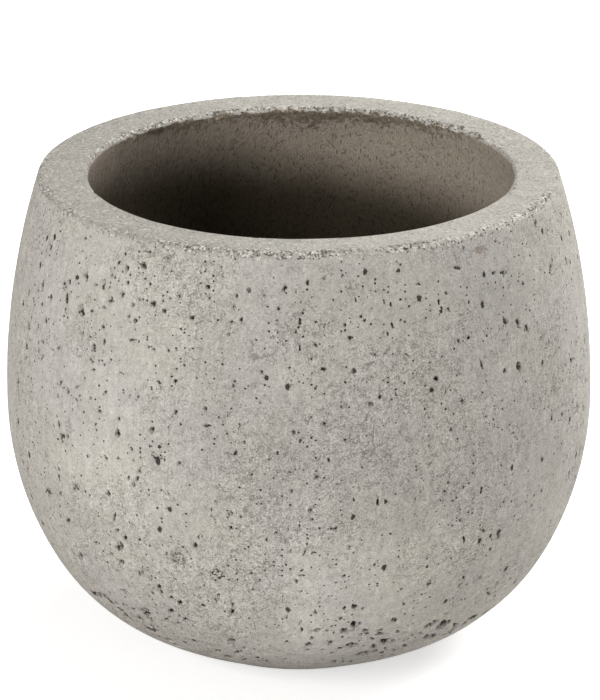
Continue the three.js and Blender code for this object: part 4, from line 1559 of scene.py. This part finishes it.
    def sink(self, moved: np.ndarray, places: np.ndarray) -> tuple[np.ndarray, np.ndarray]:
        """Sinks every blemish into the surface.

        Args:
            moved: The vertices' places, which this changes.
            places: Where they were before they were moved.

        Returns:
            For each vertex, how dark its painted shade and dirt in a blemish are, from 0 to 1, and how far
            it lies in a stain, or as a negative number in a dark stone.
        """
        depth, spots = np.zeros(len(places)), np.zeros(len(places))
        for number, void in enumerate(self.blemishes):
            offset = places - np.array(void.centre)
            near = np.flatnonzero((abs(offset) < void.reach * self.halo + MM).all(1))
            if not len(near):
                continue
            flat = np.column_stack((offset[near] @ np.array(void.across), offset[near] @ np.array(void.up)))
            level = abs(offset[near] @ np.array(void.normal))
            ring = np.hypot(*(void.shape @ flat.T))
            torn = waves(places[near], 0.0022 if void.kind is VoidKind.HOLLOW else 0.0014, 2, number)
            ring = ring * (1 + self.ragged * torn) + level / 0.02
            if void.kind in FLAT_MARKS:
                spots[near] += (1 if void.kind is VoidKind.STAIN else -1) * smooth(1.15, 0.6, ring)
                continue
            if void.kind is VoidKind.CRATER:
                part = np.exp(-(((ring - 0.76) / 0.24) ** 2)) * (0.8 + 0.5 * torn)
                part += smooth(1, 0.7, ring) * np.clip(0.45 + 0.9 * torn, 0, 1)
                part = np.minimum(part, 1)
            elif void.kind is VoidKind.HOLLOW:
                part = smooth(1.25, 0.55, ring) * np.clip(0.86 + 0.8 * torn, 0, 1)
            else:
                part = smooth(1.05, 0.5, ring)
            moved[near] -= np.array(void.normal) * (part * void.depth)[:, None]
            # Painted shade and dirt: darker deeper in the blemish, with a faint stain round large holes.
            strength = VOID_DARKNESS[void.kind]
            if void.kind is VoidKind.CHIP and void.normal.dot(void.centre) < void.centre.z:
                strength = INNER_CHIP_DARKNESS
            dark = part * strength * (0.88 + 0.12 * math.sin(number * 2.4))
            if void.kind is VoidKind.HOLE and void.reach > self.haloed:
                dark = np.maximum(dark, 0.33 * smooth(self.halo, 0.9, ring))
            depth[near] = np.maximum(depth[near], dark)
        return depth, spots

    def worn(self, radius: np.ndarray, height: np.ndarray) -> np.ndarray:
        """Finds where the casting is ground or worn.

        Args:
            radius: The vertices' distances from the axis.
            height: Their heights.

        Returns:
            How far each vertex is worn, from 0 to 1.
        """
        section = self.section
        inner = section.rim_corner_radius - section.wall
        down = section.height - height
        outer_edge = smooth(0.0072, 0.0015, down) * (radius > inner + 0.004)
        return np.where(radius > inner - 0.003, np.where(down < 0.0015, 1, 0.8 * outer_edge), 0)

    def torn(self, places: np.ndarray, radius: np.ndarray) -> np.ndarray:
        """Finds the edges where the sand stands out rough.

        Args:
            places: The vertices' places.
            radius: Their distances from the axis.

        Returns:
            How rough each vertex is, from 0 to 1.
        """
        section = self.section
        outer = section.rim_corner_radius
        outer_edge = smooth(outer - 0.006, outer - 0.0015, radius)
        inner_edge = smooth(outer - section.wall + 0.006, outer - section.wall + 0.001, radius)
        azimuth = np.degrees(np.arctan2(places[:, 1], places[:, 0]))
        rough = smooth(-62, -52, azimuth) * smooth(-12, -22, azimuth)
        rough += smooth(-118, -110, azimuth) * smooth(-76, -84, azimuth)
        patchy = np.clip(0.5 + 0.9 * waves(places, 0.03, 2, 33) + 0.5 * rough, 0, 1)
        return np.maximum(outer_edge * patchy, 0.8 * inner_edge * smooth(-0.04, 0.09, places[:, 1]))

    def crumb(self, places: np.ndarray, down: np.ndarray, azimuth: np.ndarray) -> np.ndarray:
        """How far each vertex lies in the crumbly band along the inner edge, at the back, from 0 to 1.

        Args:
            places: The vertices' places.
            down: Their depths below the rim.
            azimuth: Their azimuths, in degrees.

        Returns:
            One number for each vertex.
        """
        deep = 0.0062 + 0.0035 * waves(places * (1, 1, 0.1), 0.022, 2, 57)
        deep += 0.0065 * np.exp(-(((azimuth - 89) / 9) ** 2)) + 0.003 * np.exp(-(((azimuth - 66) / 7) ** 2))
        at_back = smooth(28, 50, azimuth) * smooth(160, 130, azimuth)
        return smooth(1.7, 0.25, down / deep) * at_back

    def tone_and_foot_shade(self, places: np.ndarray, seam: np.ndarray, outside: np.ndarray) -> np.ndarray:
        """Finds the skin's colour changes: weather, the seam, painted shade at the foot, and darker parts
        of rim and underside.

        Args:
            places: The vertices' places.
            seam: Their angles from the seam.
            outside: How far each one lies on the outer skin, from 0 to 1.

        Returns:
            How much lighter each vertex is, as a part of its colour.
        """
        height = places[:, 2]
        # Painted shade: the skin darkens towards the foot, under the belly.
        foot = -0.2 * smooth(0.034, 0.006, height)
        seam_light = 0.07 * np.exp(-(((seam - 0.05) / 0.05) ** 2)) * smooth(0.2, 0.09, height)
        weather = sum(patch.strength * patch.over(places) for patch in self.patches)
        # The rim and underside: darker towards the left and front, and at the far right.
        rim = -0.19 * smooth(0.06, -0.13, places[:, 0] + 0.3 * places[:, 1]) * (1 - outside)
        rim -= 0.05 * smooth(0.10, 0.13, places[:, 0]) * (1 - outside)
        return (foot + seam_light + weather) * outside + rim

    def kept_inside(self, moved: np.ndarray) -> np.ndarray:
        """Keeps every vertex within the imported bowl's box."""
        low, high = (np.array(corner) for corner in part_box("planter_bowl"))
        return np.clip(moved, low, high)

    def dress(self, piece: bpy.types.Object) -> None:
        """Gives each face its finish.

        Args:
            piece: The bowl.
        """
        mesh = piece.data
        mesh.materials.append(CastConcrete().build())
        mesh.materials.append(TrowelledInside().build())
        section = self.section
        centres = np.array([face.center for face in mesh.polygons])
        radius, height = np.hypot(centres[:, 0], centres[:, 1]), centres[:, 2]
        skin = Blemishes(section, PhotoView()).radius_at(height)
        lip = section.height - 0.0027 + 0.0017 * waves(centres, 0.006, 3, 21)
        floor = section.inner_floor - 0.001
        inside = (radius < skin - section.wall * 0.6) & (height > floor) & (height < lip)
        recess_face = section.underside + section.recess_depth
        bore = (radius < section.seat_radius + 0.002) & (height > recess_face + 0.0005)
        mesh.polygons.foreach_set("material_index", np.where(inside | bore, 1, 0).astype(np.int32))


def nearness(places: np.ndarray, centres: np.ndarray, reach: np.ndarray) -> np.ndarray:
    """Finds how near each place is to a blemish.

    Args:
        places: One row for each place.
        centres: One row for each blemish's middle.
        reach: How far each blemish reaches.

    Returns:
        For each place, the distance to the nearest blemish, less its reach.
    """
    best = np.full(len(places), np.inf)
    for centre, far in zip(centres, reach):
        best = np.minimum(best, np.sqrt(((places - centre) ** 2).sum(1)) - far)
    return best


@dataclass
class DrainPlug:
    """The moulded rubber plug: a ribbed stem, a flange and a mushroom grip."""

    section: BowlSection
    steps: int = 96
    clearance: float = 0.0003
    stem: float = 0.018
    tip_round: float = 0.0015
    ribs: int = 3
    rib_height: float = 0.0012
    rib_width: float = 0.0026
    flange_overlap: float = 0.006
    flange_thickness: float = 0.0035
    flange_round: float = 0.0012
    waist_radius: float = 0.005
    waist_length: float = 0.008
    waist_round: float = 0.002
    head_radius: float = 0.011
    head_thickness: float = 0.005
    hollow_radius: float = 0.007
    hollow_depth: float = 0.013
    spacing: float = 0.0006

    def outline(self) -> list[tuple[float, float]]:
        """The plug's outline, from the top of the hollow under its stem to the top of its grip.

        Returns:
            Radius and height of each point, with heights above the floor.
        """
        base = self.section.inner_floor - self.section.seat_depth + self.clearance
        quarter = math.pi / 2
        hollow = Arc(0, self.hollow_depth - self.stem - self.hollow_radius, self.hollow_radius, quarter, 0)
        tip_radius = self.crest(-self.stem) - self.rib_height
        tip = Arc(tip_radius - self.tip_round, self.tip_round - self.stem, self.tip_round, -quarter, 0)
        flange_radius = self.section.drain_radius + self.flange_overlap
        flange_x, edge = flange_radius - self.flange_round, self.flange_round
        low = Arc(flange_x, edge, edge, -quarter, 0)
        high = Arc(flange_x, self.flange_thickness - edge, edge, 0, quarter)
        head_foot = self.flange_thickness + self.waist_length
        waist_x, waist = self.waist_radius + self.waist_round, self.waist_round
        waist_low = Arc(waist_x, self.flange_thickness + waist, waist, -quarter, -math.pi)
        waist_high = Arc(waist_x, head_foot - waist, waist, math.pi, quarter)
        head_round = self.head_thickness / 2
        head = Arc(self.head_radius - head_round, head_foot + head_round, head_round, -quarter, quarter)
        walk = hollow.points(self.spacing) + [(self.hollow_radius, -self.stem)] + tip.points(self.spacing)
        walk += self.rib_points() + [(self.crest(0) - self.rib_height, 0)]
        for arc in (low, high, waist_low, waist_high, head):
            walk += arc.points(self.spacing)
        walk.append((0, head_foot + self.head_thickness))
        return [(radius, height + base) for radius, height in walk]

    def crest(self, level: float) -> float:
        """The ribs' radius at a level below the flange."""
        return self.section.drain_radius + level * math.tan(self.section.drain_draft) - self.clearance

    def rib_points(self) -> list[tuple[float, float]]:
        """Lays out the sealing ribs.

        Returns:
            Radius and level of each of their corners, from the tip up.
        """
        pitch = self.stem / (self.ribs + 0.5)
        corners = ((-1 / 2, self.rib_height), (-1 / 6, 0), (1 / 6, 0), (1 / 2, self.rib_height))
        walk = []
        for rib in range(1, self.ribs + 1):
            middle = rib * pitch - self.stem
            for across, height in corners:
                level = middle + across * self.rib_width
                walk.append((self.crest(level) - height, level))
        return walk

    def build(self) -> bpy.types.Object:
        """Models the plug and dresses it.

        Returns:
            The plug.
        """
        piece = turned("rubber_plug", self.outline(), self.steps)
        piece.data.materials.append(Rubber("plug_rubber", srgb(44, 43, 42), dusty=0.3).build())
        bpy.ops.object.shade_smooth_by_angle(angle=math.radians(35))
        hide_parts("drain_plug")
        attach(piece, "plug")
        return piece


@dataclass
class FloorPad:
    """A die-cut rubber disc glued under the bowl."""

    node: str
    steps: int = 64
    edge_round: float = 0.0008
    groove_radius: float = 0.0068
    groove_half: float = 0.0007
    groove_depth: float = 0.0006
    glue: float = 0.0003

    def build(self) -> bpy.types.Object:
        """Models the pad and dresses it.

        Returns:
            The pad.
        """
        low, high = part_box(self.node)
        centre, radius = (low + high) / 2, (high.x - low.x) / 2
        top = high.z + self.glue
        quarter = math.pi / 2
        edge = Arc(radius - self.edge_round, self.edge_round, self.edge_round, -quarter, 0)
        groove = [
            (self.groove_radius - self.groove_half, 0), (self.groove_radius, self.groove_depth),
            (self.groove_radius + self.groove_half, 0),
        ]
        outline = [(0, 0), *groove, *edge.points(0.0003), (radius, top), (0, top)]
        name = self.node.replace("floor_pad", "rubber_pad")
        piece = turned(name, outline, self.steps, (centre.x, centre.y))
        bpy.ops.object.shade_smooth_by_angle(angle=math.radians(35))
        piece.data.materials.append(Rubber("pad_rubber", srgb(52, 50, 47), dusty=0.2).build())
        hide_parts(self.node)
        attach(piece, "planter")
        return piece


# ------------------------------------------------------------------------------------------ studio


@dataclass(frozen=True)
class Softbox:
    """A square area lamp that faces the planter. Azimuth runs from +X towards +Y."""

    name: str
    azimuth: float
    elevation: float
    watts: float
    size: float = 1.2
    distance: float = 2.8

    def build(self, target: Vector) -> bpy.types.Object:
        """Makes the lamp.

        Args:
            target: The place that it faces.

        Returns:
            The lamp.
        """
        data = bpy.data.lights.new(self.name, "AREA")
        data.size, data.energy = self.size, self.watts
        level, rise = math.cos(self.elevation), math.sin(self.elevation)
        way = Vector((math.cos(self.azimuth) * level, math.sin(self.azimuth) * level, rise))
        lamp = bpy.data.objects.new(self.name, data)
        lamp.location = target + way * self.distance
        lamp.rotation_mode = "QUATERNION"
        lamp.rotation_quaternion = (-way).to_track_quat("-Z", "Y")
        bpy.context.scene.collection.objects.link(lamp)
        return lamp


@dataclass
class Studio:
    """A pale floor in soft light, white behind the planter."""

    floor_size: float = 12.0
    ambient: float = 0.13
    floor_colour: tuple = srgb(232, 231, 229)
    floor_glow: float = 0.62
    glow_fades: tuple[float, float] = (1.6, 3.2)
    softboxes: tuple[Softbox, ...] = (
        Softbox("key", math.radians(-130), math.radians(22), 52),
        Softbox("right", math.radians(15), math.radians(42), 52),
        Softbox("back_right", math.radians(50), math.radians(40), 26),
        Softbox("overhead", math.radians(-90), math.radians(86), 14),
    )

    def build(self) -> None:
        """Makes the floor, the lamps and the world."""
        start_fresh()
        bpy.ops.mesh.primitive_plane_add(size=self.floor_size)
        floor = bpy.context.object
        floor.name = "studio_floor"
        floor.data.materials.append(self.floor_material())
        for softbox in self.softboxes:
            softbox.build(Vector((0, 0, 0.15)))
        self.world()
        bpy.context.scene.view_settings.view_transform = "Standard"

    def floor_material(self) -> bpy.types.Material:
        """Makes a pale matt floor.

        Returns:
            Its material, white to the camera except in the planter's shadow, and clear from below.
        """
        material = bpy.data.materials.new("studio_floor")
        material.use_nodes = True
        tree = material.node_tree
        surface = tree.nodes["Principled BSDF"]
        surface.inputs["Base Color"].default_value = self.floor_colour
        surface.inputs["Roughness"].default_value = 0.9
        path = tree.nodes.new("ShaderNodeLightPath")
        glow = tree.nodes.new("ShaderNodeMath")
        glow.operation = "MULTIPLY"
        tree.links.new(self.seen(tree, path), glow.inputs[0])
        tree.links.new(glow.outputs[0], surface.inputs["Emission Strength"])
        surface.inputs["Emission Color"].default_value = (1, 1, 1, 1)
        far = tree.nodes.new("ShaderNodeVectorMath")
        far.operation = "LENGTH"
        tree.links.new(tree.nodes.new("ShaderNodeTexCoord").outputs["Object"], far.inputs[0])
        fade = tree.nodes.new("ShaderNodeMapRange")
        near_edge, far_edge = self.glow_fades
        limits = {"From Min": near_edge, "From Max": far_edge, "To Min": self.floor_glow, "To Max": 1}
        for name, value in limits.items():
            fade.inputs[name].default_value = value
        tree.links.new(far.outputs["Value"], fade.inputs["Value"])
        tree.links.new(fade.outputs["Result"], glow.inputs[1])
        below = tree.nodes.new("ShaderNodeMixShader")
        tree.links.new(tree.nodes.new("ShaderNodeNewGeometry").outputs["Backfacing"], below.inputs["Fac"])
        tree.links.new(surface.outputs["BSDF"], below.inputs[1])
        tree.links.new(tree.nodes.new("ShaderNodeBsdfTransparent").outputs["BSDF"], below.inputs[2])
        tree.links.new(below.outputs["Shader"], tree.nodes["Material Output"].inputs["Surface"])
        return material

    def world(self) -> None:
        """Soft light from all round, and white where the camera or a reflection sees past the floor."""
        world = bpy.data.worlds.new("studio")
        world.use_nodes = True
        tree = world.node_tree
        background = tree.nodes["Background"]
        path = tree.nodes.new("ShaderNodeLightPath")
        strength = tree.nodes.new("ShaderNodeMapRange")
        strength.inputs["To Min"].default_value = self.ambient
        strength.inputs["To Max"].default_value = 1
        tree.links.new(self.seen(tree, path), strength.inputs["Value"])
        tree.links.new(strength.outputs["Result"], background.inputs["Strength"])
        background.inputs["Color"].default_value = (1, 1, 1, 1)
        bpy.context.scene.world = world

    def seen(self, tree: bpy.types.NodeTree, path: bpy.types.Node) -> bpy.types.NodeSocket:
        """Tells what the camera sees from what lights the planter.

        Args:
            tree: The nodes to add to.
            path: Its Light Path node.

        Returns:
            1 for a ray from the camera, or one that a mirror or glass passes on, and 0 for light.
        """
        total = path.outputs["Is Camera Ray"]
        for name in ("Is Glossy Ray", "Is Transmission Ray"):
            both = tree.nodes.new("ShaderNodeMath")
            both.operation = "MAXIMUM"
            tree.links.new(total, both.inputs[0])
            tree.links.new(path.outputs[name], both.inputs[1])
            total = both.outputs[0]
        return total


# ------------------------------------------------------------------------------------------ scene


def main() -> None:
    """Builds the planter piece by piece, then the studio round it."""
    logging.basicConfig(level=logging.INFO, format="%(name)s: %(message)s")
    low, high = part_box("planter_bowl")
    section = BowlSection(height=high.z, belly_radius=high.x, underside=low.z)
    view = PhotoView()
    view.build()
    blemishes = Blemishes(section, view).build()
    LOG.info("%d blemishes", len(blemishes))
    builders = [Bowl(section, blemishes), DrainPlug(section)]
    builders += [FloorPad(name) for name in sorted(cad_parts) if name.startswith("floor_pad")]
    for builder in builders:
        piece = builder.build()
        triangles = sum(len(face.vertices) - 2 for face in piece.data.polygons)
        LOG.info("%s: %d triangles", piece.name, triangles)
    Studio().build()


if __name__ == "__main__":
    main()
